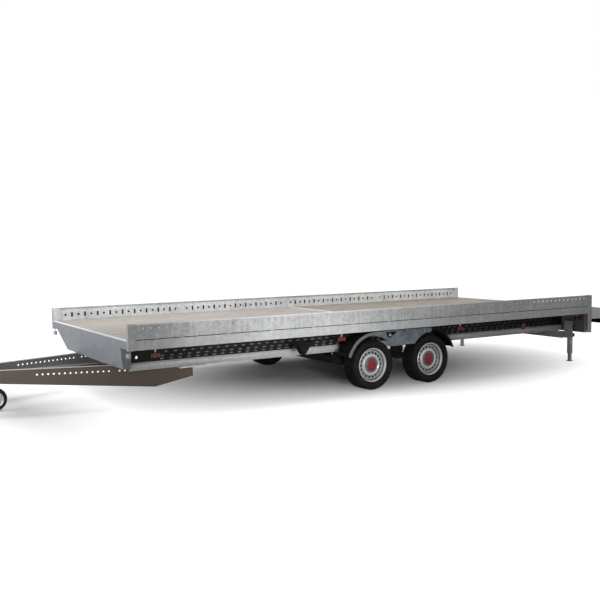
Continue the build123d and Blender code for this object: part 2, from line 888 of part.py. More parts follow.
def make_parts():
    parts = {
        "left_side_rail": side_rail(),
        "right_side_rail": flipped(side_rail()),
        "edge_beams": pair(edge_beam()),
        "corner_posts": corner_posts(),
        "deck_front_panel": deck_panel(apron_fold + deck_gap, deck_split - strip_width / 2),
        "deck_rear_panel": deck_panel(deck_split + strip_width / 2, rail_length - sheet - deck_gap),
        "deck_joint_strip": deck_joint_strip(),
        "loading_tail": loading_tail(),
        "left_longitudinal": longitudinal(),
        "right_longitudinal": flipped(longitudinal()),
        "lower_booms": pair(lower_boom()),
        "cross_members": cross_members(),
        "rear_cross_member": rear_cross_member(),
        "leg_beam": leg_beam(),
        "front_apron": front_apron(),
        "left_drawbar_arm": drawbar_arm(),
        "right_drawbar_arm": flipped(drawbar_arm()),
        "drawbar_bridges": drawbar_bridges(),
        "drawbar_clamps": drawbar_clamps(),
        "overrun_housing": overrun_housing(),
        "gaiter": gaiter(),
        "coupling_head": coupling_head(),
        "coupling_handle": coupling_handle(),
        "handbrake_lever": handbrake_lever(),
        "brake_rod": brake_rod(),
        "jockey_tube": jockey_tube(),
        "jockey_stem": jockey_stem(),
        "jockey_fork": jockey_fork(),
        "jockey_wheel": jockey_wheel(),
        "front_axle": axle(axle_stations[0]),
        "rear_axle": axle(axle_stations[1]),
        "left_mudguard": mudguard(),
        "right_mudguard": flipped(mudguard()),
        "wheel_plates": pair(wheel_plate()),
        "side_marker_lamps": side_marker_lamps(),
        "front_position_lamps": front_position_lamps(),
        "side_reflectors": side_reflectors(),
        "wheel_chocks": wheel_chocks(),
        "rear_light_bar": rear_light_bar(),
        "tail_brackets": tail_brackets(),
        "tail_lamps": tail_lamps(),
        "leg_tubes": leg_tubes(),
        "left_leg": leg(),
        "right_leg": flipped(leg()),
    }
    for end, wheel_station in zip(("front", "rear"), axle_stations):
        for name, side in (("left", 1), ("right", -1)):
            place = wheel_place(wheel_station, side)
            parts[f"{end}_{name}_tyre"] = place * tyre(side)
            parts[f"{end}_{name}_rim"] = place * rim(side)
    return parts


os.makedirs("parts", exist_ok=True)
for node, shape in make_parts().items():
    export_step(shape, f"parts/{node}.step")
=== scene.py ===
import bmesh
import bpy
import json
from math import atan, cos, pi, radians, sin, sqrt
from mathutils import Matrix, Vector


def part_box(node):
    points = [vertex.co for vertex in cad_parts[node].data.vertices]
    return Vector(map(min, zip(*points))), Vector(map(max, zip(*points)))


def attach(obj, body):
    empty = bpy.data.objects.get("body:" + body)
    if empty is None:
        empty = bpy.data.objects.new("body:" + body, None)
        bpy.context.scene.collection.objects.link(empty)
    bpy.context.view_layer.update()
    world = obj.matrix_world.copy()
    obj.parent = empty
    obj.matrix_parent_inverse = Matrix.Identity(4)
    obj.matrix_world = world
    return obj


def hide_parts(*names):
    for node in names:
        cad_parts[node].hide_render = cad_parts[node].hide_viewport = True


# %% [markdown]
# # A car transporter trailer
# The solids of this trailer come from a CAD program as a fixed frame: every beam and wheel is already in
# its place, in metres, with +X to the coupling, +Y to the left side and +Z up. This lesson dresses that
# frame. Each piece is made on its place, with its object at the origin, and rides on a body of the frame.

# %% Load the frame and take the main places from it
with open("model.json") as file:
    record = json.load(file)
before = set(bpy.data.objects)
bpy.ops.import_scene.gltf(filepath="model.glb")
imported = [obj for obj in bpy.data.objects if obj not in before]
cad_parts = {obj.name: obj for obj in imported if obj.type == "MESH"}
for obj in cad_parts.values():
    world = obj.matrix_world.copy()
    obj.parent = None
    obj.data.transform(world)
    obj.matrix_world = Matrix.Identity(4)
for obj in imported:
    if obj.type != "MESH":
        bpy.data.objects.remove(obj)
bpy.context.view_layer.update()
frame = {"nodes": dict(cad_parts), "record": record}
front_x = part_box("corner_posts")[1].x
deck_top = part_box("deck_front_panel")[1].z


def station(distance):
    """x of a place that many metres behind the front ends of the side rails."""
    return front_x - distance


print(len(frame["nodes"]), "CAD nodes; rails start at x =", round(front_x, 3))

# %% [markdown]
# ## Camera
# The trailer is seen from its front left, from a little above the deck, through a slightly long lens.
# A camera in Blender looks along its own -Z with +Y up, so its matrix is built from three vectors:
# right, up and backwards. A small shift moves the picture sideways without turning the camera.

# %% Camera
camera_place = Vector((4.683, 7.676, 1.525))
camera_yaw = 0.5351
camera_dip = 0.06864
camera_roll = -0.0123
ahead = Vector((-sin(camera_yaw) * cos(camera_dip), -cos(camera_yaw) * cos(camera_dip), -sin(camera_dip)))
level_right = Vector((-cos(camera_yaw), sin(camera_yaw), 0))
level_up = level_right.cross(ahead)
camera_right = level_right * cos(camera_roll) + level_up * sin(camera_roll)
camera_up = level_up * cos(camera_roll) - level_right * sin(camera_roll)
camera_data = bpy.data.cameras.new("camera")
camera_data.sensor_width = 36
camera_data.lens = 47.47
camera_data.shift_x = 0.05
camera_data.clip_end = 200
camera = bpy.data.objects.new("camera", camera_data)
bpy.context.scene.collection.objects.link(camera)
camera_axes = Matrix((camera_right, camera_up, -ahead)).transposed().to_4x4()
camera.matrix_world = Matrix.Translation(camera_place) @ camera_axes
bpy.context.scene.camera = camera
print("camera is", round(camera_place.length, 2), "m from the middle of the trailer")

# %% [markdown]
# ## Shader helpers
# A material is a small graph. Two helpers keep each graph readable: one adds a node and fills its sockets,
# the other starts a node group with named inputs and outputs, so that an effect is built once and used by
# many materials with their own values.

# %% Helpers for node trees


def add(tree, kind, sockets=None, **settings):
    """Adds a node; a socket that is given another node's output is linked, any other value is set."""
    node = tree.nodes.new(kind)
    for key, value in settings.items():
        setattr(node, key, value)
    for key, value in (sockets or {}).items():
        if isinstance(value, bpy.types.NodeSocket):
            tree.links.new(value, node.inputs[key])
        else:
            node.inputs[key].default_value = value
    return node


def start_group(name, kind, inputs, outputs):
    """A node group with named sockets; returns the tree, its input values and its output sockets."""
    tree = bpy.data.node_groups.new(name, kind)
    for label, socket_kind, value in inputs:
        socket = tree.interface.new_socket(label, in_out="INPUT", socket_type=socket_kind)
        if value is not None:
            socket.default_value = value
    for label, socket_kind in outputs:
        tree.interface.new_socket(label, in_out="OUTPUT", socket_type=socket_kind)
    given = tree.nodes.new("NodeGroupInput").outputs
    wanted = tree.nodes.new("NodeGroupOutput").inputs
    return tree, given, wanted


def mixed(tree, factor, a, b):
    """Colour output of a Mix node between two colours."""
    return add(tree, "ShaderNodeMix", {0: factor, 6: a, 7: b}, data_type="RGBA").outputs[2]


def stretched(tree, scale=(1, 1, 1)):
    """Object coordinates scaled along each axis, for a pattern that runs one way."""
    place = add(tree, "ShaderNodeTexCoord")
    return add(tree, "ShaderNodeMapping", {"Vector": place.outputs["Object"], "Scale": scale}).outputs[0]


def noise(tree, vector, scale, detail=3.0, rough=0.55):
    """Value output of a noise texture."""
    sockets = {"Vector": vector, "Scale": scale, "Detail": detail, "Roughness": rough}
    return add(tree, "ShaderNodeTexNoise", sockets).outputs[0]


def spread(tree, value, low, high, to_low=0.0, to_high=1.0):
    """A value stretched from one range to another and clamped."""
    node = add(tree, "ShaderNodeMapRange", {"Value": value, "From Min": low, "From Max": high,
                                            "To Min": to_low, "To Max": to_high})
    return node.outputs[0]


def maths(tree, operation, a, b):
    """Output of a Math node."""
    return add(tree, "ShaderNodeMath", {0: a, 1: b}, operation=operation).outputs[0]


def swing(tree, value, weight):
    """A value between 0 and 1 turned into one that swings round 0 by its weight."""
    return maths(tree, "MULTIPLY", maths(tree, "SUBTRACT", value, 0.5), weight)


print("helpers ready")

# %% [markdown]
# ## Shared surface effects
# Hot-dip galvanised steel is a patchwork of zinc crystals, the spangle, with runs where the zinc drained
# off. A Voronoi texture gives flat cells that look like crystals, and noise stretched upright gives the
# runs. Dirt, fine grain and scuffs are groups too, because paint, rubber and plastic all need them.

# %% Zinc spangle, used by every galvanised piece
spangle, given, wanted = start_group("zinc spangle", "ShaderNodeTree", [
    ("Dark", "NodeSocketColor", (0.28, 0.29, 0.30, 1)), ("Light", "NodeSocketColor", (0.62, 0.63, 0.64, 1)),
    ("Crystal size", "NodeSocketFloat", 0.02), ("Runs", "NodeSocketFloat", 0.4),
    ("Clouds", "NodeSocketFloat", 0.5)],
    [("Color", "NodeSocketColor"), ("Roughness", "NodeSocketFloat"), ("Height", "NodeSocketFloat")])
crystal_contrast = 0.34
dull, shiny = 0.62, 0.42
place = stretched(spangle)
wobble = noise(spangle, place, 14, 2)
shifted = add(spangle, "ShaderNodeVectorMath", {0: place, 1: (0.012, 0.012, 0.012)}, operation="ADD")
cell_scale = maths(spangle, "DIVIDE", 1.0, given["Crystal size"])
cells = add(spangle, "ShaderNodeTexVoronoi", {"Vector": shifted.outputs[0], "Scale": cell_scale},
            feature="F1")
cell_tone = add(spangle, "ShaderNodeSeparateColor", {0: cells.outputs["Color"]}).outputs[0]
runs = noise(spangle, stretched(spangle, (26, 26, 2.5)), 1.0, 3)
clouds = noise(spangle, place, 2.2, 3)
crystals = swing(spangle, cell_tone, crystal_contrast)
run_tone = swing(spangle, runs, given["Runs"])
cloud_tone = swing(spangle, clouds, given["Clouds"])
crystals_and_runs = maths(spangle, "ADD", crystals, run_tone)
tone = maths(spangle, "ADD", crystals_and_runs, maths(spangle, "ADD", cloud_tone, 0.5))
tone = spread(spangle, tone, 0.0, 1.0)
spangle.links.new(mixed(spangle, tone, given["Dark"], given["Light"]), wanted["Color"])
spangle.links.new(spread(spangle, tone, 0, 1, dull, shiny), wanted["Roughness"])
spangle.links.new(maths(spangle, "ADD", cell_tone, wobble), wanted["Height"])
print("group:", spangle.name)

# %% Road dirt, in patches over any colour
dirt, given, wanted = start_group("road dirt", "ShaderNodeTree", [
    ("Color", "NodeSocketColor", (0.5, 0.5, 0.5, 1)), ("Dirt", "NodeSocketColor", (0.16, 0.14, 0.12, 1)),
    ("Amount", "NodeSocketFloat", 0.3), ("Scale", "NodeSocketFloat", 5.0)], [("Color", "NodeSocketColor")])
patches = noise(dirt, stretched(dirt), given["Scale"], 6, 0.65)
cover = maths(dirt, "MULTIPLY", spread(dirt, patches, 0.42, 0.75), given["Amount"])
dirt.links.new(mixed(dirt, cover, given["Color"], given["Dirt"]), wanted["Color"])
print("group:", dirt.name)

# %% Fine grain, for the gloss and the bump of coated pieces
grain, given, wanted = start_group("fine grain", "ShaderNodeTree", [
    ("Scale", "NodeSocketFloat", 300.0), ("Smooth", "NodeSocketFloat", 0.35),
    ("Rough", "NodeSocketFloat", 0.55)],
    [("Roughness", "NodeSocketFloat"), ("Height", "NodeSocketFloat")])
fine = noise(grain, stretched(grain), given["Scale"], 2)
broad = noise(grain, stretched(grain), 9.0, 3)
grain.links.new(fine, wanted["Height"])
grain.links.new(spread(grain, broad, 0.3, 0.7, given["Smooth"], given["Rough"]), wanted["Roughness"])
print("group:", grain.name)

# %% Scuffs, thin marks along the trailer where the coat is worn
scuffs, given, wanted = start_group("scuffs", "ShaderNodeTree", [
    ("Color", "NodeSocketColor", (0.1, 0.1, 0.1, 1)), ("Bare", "NodeSocketColor", (0.4, 0.4, 0.4, 1)),
    ("Amount", "NodeSocketFloat", 0.3)], [("Color", "NodeSocketColor")])
thin = noise(scuffs, stretched(scuffs, (3, 40, 60)), 1.0, 5, 0.7)
where = noise(scuffs, stretched(scuffs), 3.0, 2)
mark = maths(scuffs, "MULTIPLY", spread(scuffs, thin, 0.62, 0.68), spread(scuffs, where, 0.45, 0.7))
worn = maths(scuffs, "MULTIPLY", mark, given["Amount"])
scuffs.links.new(mixed(scuffs, worn, given["Color"], given["Bare"]), wanted["Color"])
print("group:", scuffs.name)

# %% [markdown]
# ## Makers of finishes
# Each material keeps its own Principled shader and takes its colours, roughness and bump from the groups.
# Values that are the same all over the surface are set straight on the shader. Two makers cover most of the
# trailer: bare galvanised steel, and a coat of paint, rubber or plastic. Each finish is then made beside the
# first piece that wears it.

# %% Start a finish


def start_material(name, **values):
    """A material with its Principled shader; the given socket values are set on it."""
    material = bpy.data.materials.new(name)
    material.use_nodes = True
    shader = material.node_tree.nodes["Principled BSDF"]
    for key, value in values.items():
        shader.inputs[key.replace("_", " ")].default_value = value
    return material, material.node_tree, shader.inputs


def use(tree, group, **sockets):
    """One copy of a shared group in a material."""
    named = {key.replace("_", " "): value for key, value in sockets.items()}
    return add(tree, "ShaderNodeGroup", named, node_tree=group).outputs


def raise_surface(tree, shader, height, strength, distance):
    """Feeds a height into the shader's normal through a Bump node."""
    bump = add(tree, "ShaderNodeBump", {"Height": height, "Strength": strength, "Distance": distance})
    tree.links.new(bump.outputs[0], shader["Normal"])


print("finishes start with", start_material.__name__)

# %% Galvanised steel, and a coat of paint, rubber or plastic


def zinc_finish(name, dark, light, crystal=0.02, runs=0.4, metallic=0.15, dirty=0.15, clouds=0.6):
    """Galvanised steel: crystals between a dark and a light grey, with runs, clouds and a little dirt."""
    material, tree, shader = start_material(name, Metallic=metallic, Specular_IOR_Level=0.4)
    zinc = use(tree, spangle, Dark=(*dark, 1), Light=(*light, 1), Crystal_size=crystal, Runs=runs,
               Clouds=clouds)
    dirtied = use(tree, dirt, Color=zinc["Color"], Amount=dirty)
    tree.links.new(dirtied["Color"], shader["Base Color"])
    tree.links.new(zinc["Roughness"], shader["Roughness"])
    raise_surface(tree, shader, zinc["Height"], 0.12, 0.0006)
    return material


def coated_finish(name, colour, smooth=0.35, rough=0.5, scale=350.0, bare=(0.4, 0.4, 0.4), worn=0.25,
                  dirty=0.2, metallic=0.0, specular=0.3, coat=0.0):
    """Paint, rubber or plastic: one colour with fine grain, scuffs down to a bare colour, and dirt."""
    material, tree, shader = start_material(name, Metallic=metallic, Specular_IOR_Level=specular,
                                            Coat_Weight=coat, Coat_Roughness=0.2)
    surface = use(tree, grain, Scale=scale, Smooth=smooth, Rough=rough)
    scuffed = use(tree, scuffs, Color=(*colour, 1), Bare=(*bare, 1), Amount=worn)
    dirtied = use(tree, dirt, Color=scuffed["Color"], Amount=dirty)
    tree.links.new(dirtied["Color"], shader["Base Color"])
    tree.links.new(surface["Roughness"], shader["Roughness"])
    raise_surface(tree, shader, surface["Height"], 0.25, 0.0003)
    return material


print("makers:", zinc_finish.__name__, coated_finish.__name__)

# %% [markdown]
# ## Mesh helpers
# Folded sheet, bars and turned parts are all a closed outline moved along or round an axis. bmesh is a mesh
# that can be edited face by face from a script; each helper adds one closed form to it. The finished mesh
# becomes a piece that rides on a body, stands for its CAD nodes and names the paint it takes.

# %% Bridges between rings, and straight prisms
body_of = {node: body for body, nodes in frame["record"]["behaviour"]["bodies"].items() for node in nodes}


def bridge(shape, rings, loop=False):
    """Quads between rings of points; the ends are capped unless the rings form a loop."""
    rows = [[shape.verts.new(point) for point in ring] for ring in rings]
    faces = []
    for near, far in zip(rows, rows[1:] + rows[:1] if loop else rows[1:]):
        for k in range(len(near)):
            after = (k + 1) % len(near)
            faces.append(shape.faces.new((near[k], near[after], far[after], far[k])))
    if not loop:
        faces += [shape.faces.new(rows[0][::-1]), shape.faces.new(rows[-1])]
    bmesh.ops.recalc_face_normals(shape, faces=faces)


def block(shape, start, end, y0, y1, z0, z1):
    """Box from one station to another."""
    section = ((y0, z0), (y1, z0), (y1, z1), (y0, z1))
    bridge(shape, [[(station(s), y, z) for y, z in section] for s in (start, end)])


def across(shape, outline, y0, y1):
    """Prism across the trailer with its outline in (station, z)."""
    bridge(shape, [[(station(s), y, z) for s, z in outline] for y in (y0, y1)])


def along(shape, outline, start, end):
    """Prism along the trailer with its outline in (y, z)."""
    bridge(shape, [[(station(s), y, z) for y, z in outline] for s in (start, end)])


def upright(shape, outline, z0, z1):
    """Standing prism with its outline in (station, y)."""
    bridge(shape, [[(station(s), y, z) for s, y in outline] for z in (z0, z1)])


print("bodies:", sorted(set(body_of.values())))

# %% Turned forms, folded sheet and mirrored forms
pole = 0.00001


def lathe(shape, profile, centre, axis, sides, loop=False):
    """Turned form: the profile is (radius, distance along the axis); a loop closes on itself like a ring."""
    axis = Vector(axis).normalized()
    side = axis.orthogonal().normalized()
    other = axis.cross(side)
    centre = Vector(centre)
    spokes = [side * cos(2 * pi * k / sides) + other * sin(2 * pi * k / sides) for k in range(sides)]
    rings = [[centre + axis * t + spoke * max(radius, pole) for spoke in spokes] for radius, t in profile]
    bridge(shape, rings, loop)


def folded(points, thickness):
    """Outline of a folded sheet: one face is the points, the other lies to their left."""
    normals = []
    for (x0, y0), (x1, y1) in zip(points, points[1:]):
        length = sqrt((x1 - x0) ** 2 + (y1 - y0) ** 2)
        normals.append(((y0 - y1) / length, (x1 - x0) / length))
    other = []
    for i, (x, y) in enumerate(points):
        before = normals[max(i - 1, 0)]
        after = normals[min(i, len(normals) - 1)]
        mitre = thickness / (1 + before[0] * after[0] + before[1] * after[1])
        other.append((x + (before[0] + after[0]) * mitre, y + (before[1] + after[1]) * mitre))
    return list(points) + other[::-1]


def mirrored(shape):
    """Adds the same form on the trailer's other side."""
    copy = bmesh.ops.duplicate(shape, geom=shape.verts[:] + shape.edges[:] + shape.faces[:])["geom"]
    for item in copy:
        if isinstance(item, bmesh.types.BMVert):
            item.co.y = -item.co.y
    bmesh.ops.reverse_faces(shape, faces=[item for item in copy if isinstance(item, bmesh.types.BMFace)])


def to_right(shape):
    """Turns a left-hand form into the right-hand one."""
    for vert in shape.verts:
        vert.co.y = -vert.co.y
    bmesh.ops.reverse_faces(shape, faces=shape.faces[:])


print("forms ready")

# %% Finish a mesh as a piece
made = []


def finish(shape, name, materials, nodes=(), body=None, bevel=0.0, smooth=35, steps=2):
    """Makes a piece of a shape: materials, soft edges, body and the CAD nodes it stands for."""
    mesh = bpy.data.meshes.new(name)
    shape.to_mesh(mesh)
    shape.free()
    materials = materials if isinstance(materials, list) else [materials]
    chosen = [polygon.material_index if len(materials) > 1 else 0 for polygon in mesh.polygons]
    mesh.materials.clear()
    for material in materials:
        mesh.materials.append(material)
    mesh.polygons.foreach_set("material_index", chosen)
    mesh.polygons.foreach_set("use_smooth", [True] * len(mesh.polygons))
    mesh.set_sharp_from_angle(angle=radians(smooth))
    piece = bpy.data.objects.new(name, mesh)
    bpy.context.scene.collection.objects.link(piece)
    if bevel:
        modifier = piece.modifiers.new("soft edges", "BEVEL")
        modifier.width = bevel
        modifier.segments = steps
        modifier.limit_method = "ANGLE"
        modifier.angle_limit = radians(smooth)
        modifier.harden_normals = True
    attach(piece, body or body_of[nodes[0]])
    if nodes:
        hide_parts(*nodes)
    made.append((name, len(mesh.polygons)))


def dress(node, material, bevel=0.0015, choose=None):
    """A copy of a CAD node with its loose triangles merged, so that its edges can be softened."""
    shape = bmesh.new()
    shape.from_mesh(frame["nodes"][node].data)
    bmesh.ops.remove_doubles(shape, verts=shape.verts, dist=0.00002)
    bmesh.ops.dissolve_limit(shape, angle_limit=radians(0.5), verts=shape.verts, edges=shape.edges)
    for face in shape.faces:
        face.material_index = choose(face) if choose else 0
    finish(shape, node + "_folded", material, [node], bevel=bevel)


print("pieces are made with finish() and dress()")

# %% [markdown]
# ## Geometry Nodes: perforated sheet and bolts
# Strap rails, chassis webs and drawbar arms are sheets full of equal holes, and hundreds of bolts hold the
# frame. A geometry tree makes both: one draws hole outlines on given places and fills the sheet between
# them, the other sets a bolt on every place, standing along the direction stored there. The result is
# turned into a plain mesh.

# %% Tree for a perforated sheet
perforating, given, wanted = start_group("perforated sheet", "GeometryNodeTree", [
    ("Outline", "NodeSocketGeometry", None), ("Thickness", "NodeSocketFloat", 0.003),
    ("Round size", "NodeSocketFloat", 0.024), ("Slot width", "NodeSocketFloat", 0.019),
    ("Slot height", "NodeSocketFloat", 0.05), ("Slot corner", "NodeSocketFloat", 0.0094),
    ("Finish", "NodeSocketMaterial", None)], [("Sheet", "NodeSocketGeometry")])
hole_kind = add(perforating, "GeometryNodeInputNamedAttribute", {"Name": "hole"}, data_type="INT").outputs[0]
rim_curve = add(perforating, "GeometryNodeMeshToCurve", {"Mesh": given["Outline"]}).outputs[0]
round_radius = maths(perforating, "MULTIPLY", given["Round size"], 0.5)
circle = add(perforating, "GeometryNodeCurvePrimitiveCircle", {"Resolution": 14, "Radius": round_radius})
slot_box = add(perforating, "GeometryNodeCurvePrimitiveQuadrilateral",
               {"Width": given["Slot width"], "Height": given["Slot height"]})
rounding = {"Curve": slot_box.outputs[0], "Count": 4, "Radius": given["Slot corner"], "Limit Radius": True}
slot_curve = add(perforating, "GeometryNodeFilletCurve", rounding, mode="POLY")
outlines = add(perforating, "GeometryNodeJoinGeometry")
perforating.links.new(rim_curve, outlines.inputs[0])
for number, outline in ((1, circle.outputs[0]), (2, slot_curve.outputs[0])):
    wanted_kind = add(perforating, "FunctionNodeCompare", {2: hole_kind, 3: number},
                      data_type="INT", operation="EQUAL").outputs[0]
    places = add(perforating, "GeometryNodeMeshToPoints",
                 {"Mesh": given["Outline"], "Selection": wanted_kind})
    copies = add(perforating, "GeometryNodeInstanceOnPoints",
                 {"Points": places.outputs[0], "Instance": outline})
    real = add(perforating, "GeometryNodeRealizeInstances", {0: copies.outputs[0]})
    perforating.links.new(real.outputs[0], outlines.inputs[0])
flat = add(perforating, "GeometryNodeFillCurve", {"Curve": outlines.outputs[0]}, mode="TRIANGLES").outputs[0]
lift = add(perforating, "ShaderNodeCombineXYZ", {"Z": given["Thickness"]}).outputs[0]
raised = add(perforating, "GeometryNodeExtrudeMesh", {"Mesh": flat, "Offset": lift, "Individual": False})
under = add(perforating, "GeometryNodeFlipFaces", {"Mesh": flat}).outputs[0]
closed = add(perforating, "GeometryNodeJoinGeometry")
perforating.links.new(raised.outputs[0], closed.inputs[0])
perforating.links.new(under, closed.inputs[0])
welded = add(perforating, "GeometryNodeMergeByDistance", {"Geometry": closed.outputs[0], "Distance": 0.00001})
real = add(perforating, "GeometryNodeRealizeInstances", {0: welded.outputs[0]})
painted = add(perforating, "GeometryNodeSetMaterial",
              {"Geometry": real.outputs[0], "Material": given["Finish"]})
perforating.links.new(painted.outputs[0], wanted["Sheet"])
print("tree:", perforating.name)

# %% Tree for bolts
bolting, given, wanted = start_group("bolt on every place", "GeometryNodeTree", [
    ("Places", "NodeSocketGeometry", None), ("Head", "NodeSocketFloat", 0.016),
    ("Height", "NodeSocketFloat", 0.006), ("Washer", "NodeSocketFloat", 0.022), ("Sides", "NodeSocketInt", 6),
    ("Seed", "NodeSocketInt", 4), ("Finish", "NodeSocketMaterial", None)], [("Bolts", "NodeSocketGeometry")])
washer_height = maths(bolting, "MULTIPLY", given["Height"], 0.25)
head_radius = maths(bolting, "MULTIPLY", given["Head"], 0.5)
washer_radius = maths(bolting, "MULTIPLY", given["Washer"], 0.5)
head = add(bolting, "GeometryNodeMeshCylinder",
           {"Vertices": given["Sides"], "Depth": given["Height"], "Radius": head_radius})
washer = add(bolting, "GeometryNodeMeshCylinder",
             {"Vertices": 14, "Depth": washer_height, "Radius": washer_radius})
bolt = add(bolting, "GeometryNodeJoinGeometry")
for part, depth in ((head.outputs[0], given["Height"]), (washer.outputs[0], washer_height)):
    rise = add(bolting, "ShaderNodeCombineXYZ", {"Z": maths(bolting, "MULTIPLY", depth, 0.5)}).outputs[0]
    seated = add(bolting, "GeometryNodeTransform", {"Geometry": part, "Translation": rise})
    bolting.links.new(seated.outputs[0], bolt.inputs[0])
facing = add(bolting, "GeometryNodeInputNamedAttribute", {"Name": "facing"}, data_type="FLOAT_VECTOR")
stand = add(bolting, "FunctionNodeAlignRotationToVector", {"Vector": facing.outputs[0]}, axis="Z").outputs[0]
spin = add(bolting, "FunctionNodeRandomValue", {2: 0.0, 3: 1.0, "Seed": given["Seed"]}, data_type="FLOAT")
spin_turn = add(bolting, "ShaderNodeCombineXYZ", {"Z": spin.outputs[1]}).outputs[0]
spin_rotation = add(bolting, "FunctionNodeEulerToRotation", {0: spin_turn}).outputs[0]
spun = add(bolting, "FunctionNodeRotateRotation", {"Rotation": stand, "Rotate By": spin_rotation},
           rotation_space="LOCAL").outputs[0]
bolt_places = add(bolting, "GeometryNodeMeshToPoints", {"Mesh": given["Places"]}).outputs[0]
bolts = add(bolting, "GeometryNodeInstanceOnPoints",
            {"Points": bolt_places, "Instance": bolt.outputs[0], "Rotation": spun})
real = add(bolting, "GeometryNodeRealizeInstances", {0: bolts.outputs[0]})
painted = add(bolting, "GeometryNodeSetMaterial", {"Geometry": real.outputs[0], "Material": given["Finish"]})
bolting.links.new(painted.outputs[0], wanted["Bolts"])
print("tree:", bolting.name)

# %% Run a tree and keep its plain mesh


def grow(mesh, tree, **values):
    """Runs a geometry tree on a mesh; inputs are given by name and set by their identifiers."""
    carrier = bpy.data.objects.new(tree.name, mesh)
    bpy.context.scene.collection.objects.link(carrier)
    modifier = carrier.modifiers.new(tree.name, "NODES")
    modifier.node_group = tree
    for item in tree.interface.items_tree:
        if item.in_out == "INPUT" and item.name.replace(" ", "_") in values:
            modifier[item.identifier] = values[item.name.replace(" ", "_")]
    bpy.context.view_layer.update()
    result = bpy.data.meshes.new_from_object(carrier.evaluated_get(bpy.context.evaluated_depsgraph_get()))
    carrier.modifiers.remove(modifier)
    bpy.data.objects.remove(carrier)
    return result


def perforated(shape, loops, rounds, slots, turn, **values):
    """Adds a sheet drawn flat, with x along it and y up it; turn is the matrix that puts it in its place."""
    points = [(x, y, 0) for loop in loops for x, y in loop] + [(x, y, 0) for x, y in rounds + slots]
    edges = []
    first = 0
    for loop in loops:
        edges += [(first + k, first + (k + 1) % len(loop)) for k in range(len(loop))]
        first += len(loop)
    mesh = bpy.data.meshes.new("outline")
    mesh.from_pydata(points, edges, [])
    kinds = [0] * first + [1] * len(rounds) + [2] * len(slots)
    mesh.attributes.new("hole", "INT", "POINT").data.foreach_set("value", kinds)
    sheet = grow(mesh, perforating, **values)
    sheet.transform(turn)
    shape.from_mesh(sheet)


def on_side(y):
    """Sets a flat sheet upright along the trailer, its inner face at y; x of the sheet is a station."""
    return Matrix(((-1, 0, 0, front_x), (0, 0, 1, y), (0, 1, 0, 0), (0, 0, 0, 1)))


bolt_lists = {}


def bolt_up(places, facing, size):
    """Notes places for bolts on the chassis; size holds head, height, washer and the count of sides."""
    bolt_lists.setdefault(size, []).extend((Vector(place), Vector(facing)) for place in places)


print("trees run with grow()")

# %% [markdown]
# ## Side rails
# The upper rail is a folded sheet: a hollow foot with the strap holes in its inner wall, and a lipped single
# sheet above it with a row of small holes, through which the light shows. The bead along the top of its outer
# face is bright zinc as a painted highlight. Long plain walls could be boxes, but the holes are what people
# notice, so both walls are perforated sheets. The rail comes in two lengths that meet at a seam. A dark strip
# inside the foot is painted shade that keeps the strap holes black, and dark dashes along the foot's outer
# edge are the painted shadow of the gap to the beam below, between the places where the two are joined.

# %% Finishes of the rails
zinc_rail = zinc_finish("galvanised rail", dark=(0.32, 0.33, 0.335), light=(0.64, 0.65, 0.65),
                        crystal=0.026, runs=1.0, clouds=1.0)
zinc_beam = zinc_finish("galvanised beam", dark=(0.36, 0.365, 0.37), light=(0.63, 0.64, 0.64),
                        crystal=0.022, runs=0.5, clouds=0.9)
# a lighter copy of the zinc: painted highlight on the rail bead, post faces, tail and front edge; also on the
# joint strip, clamps and tail brackets
bright_zinc_and_highlight = zinc_finish("bright galvanised strip", dark=(0.66, 0.67, 0.68), light=(0.82, 0.83, 0.84),
                          crystal=0.015, runs=0.2)
# near black as painted shade: chassis webs, the rail foot strip and dashes, the axles and the wheel plates'
# inner faces
shade_black = coated_finish("dark chassis web", colour=(0.015, 0.015, 0.016), smooth=0.55, rough=0.7,
                         scale=200.0, bare=(0.06, 0.06, 0.06), worn=0.3, dirty=0.1, specular=0.12)
print("finishes:", zinc_rail.name, zinc_beam.name, bright_zinc_and_highlight.name, shade_black.name)

# %% Sizes of the rails
rail_low, rail_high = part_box("left_side_rail")
rail_start = front_x - rail_high.x
rail_end = front_x - rail_low.x
rail_out = rail_high.y
rail_in = rail_low.y
wall = 0.003
shoulder = 0.806
seam = 3.095
seam_gap = 0.003
hole_pitch = 0.075
first_hole = 0.143
group = 20
groups = 4
upper_row = 0.817
strap_row = 0.774
lip_depth = 0.015
bead_top = rail_high.z - 0.0005
bead_foot = rail_high.z - 0.009
painted_shade_gap = 0.003
painted_shade_sheet = 0.002
dash_count = 13
dash_pitch = 0.475
dash_length = 0.44
print("rail ends at", round(rail_end, 3), "m, with", groups * group, "places for holes")

# %% Strap rails


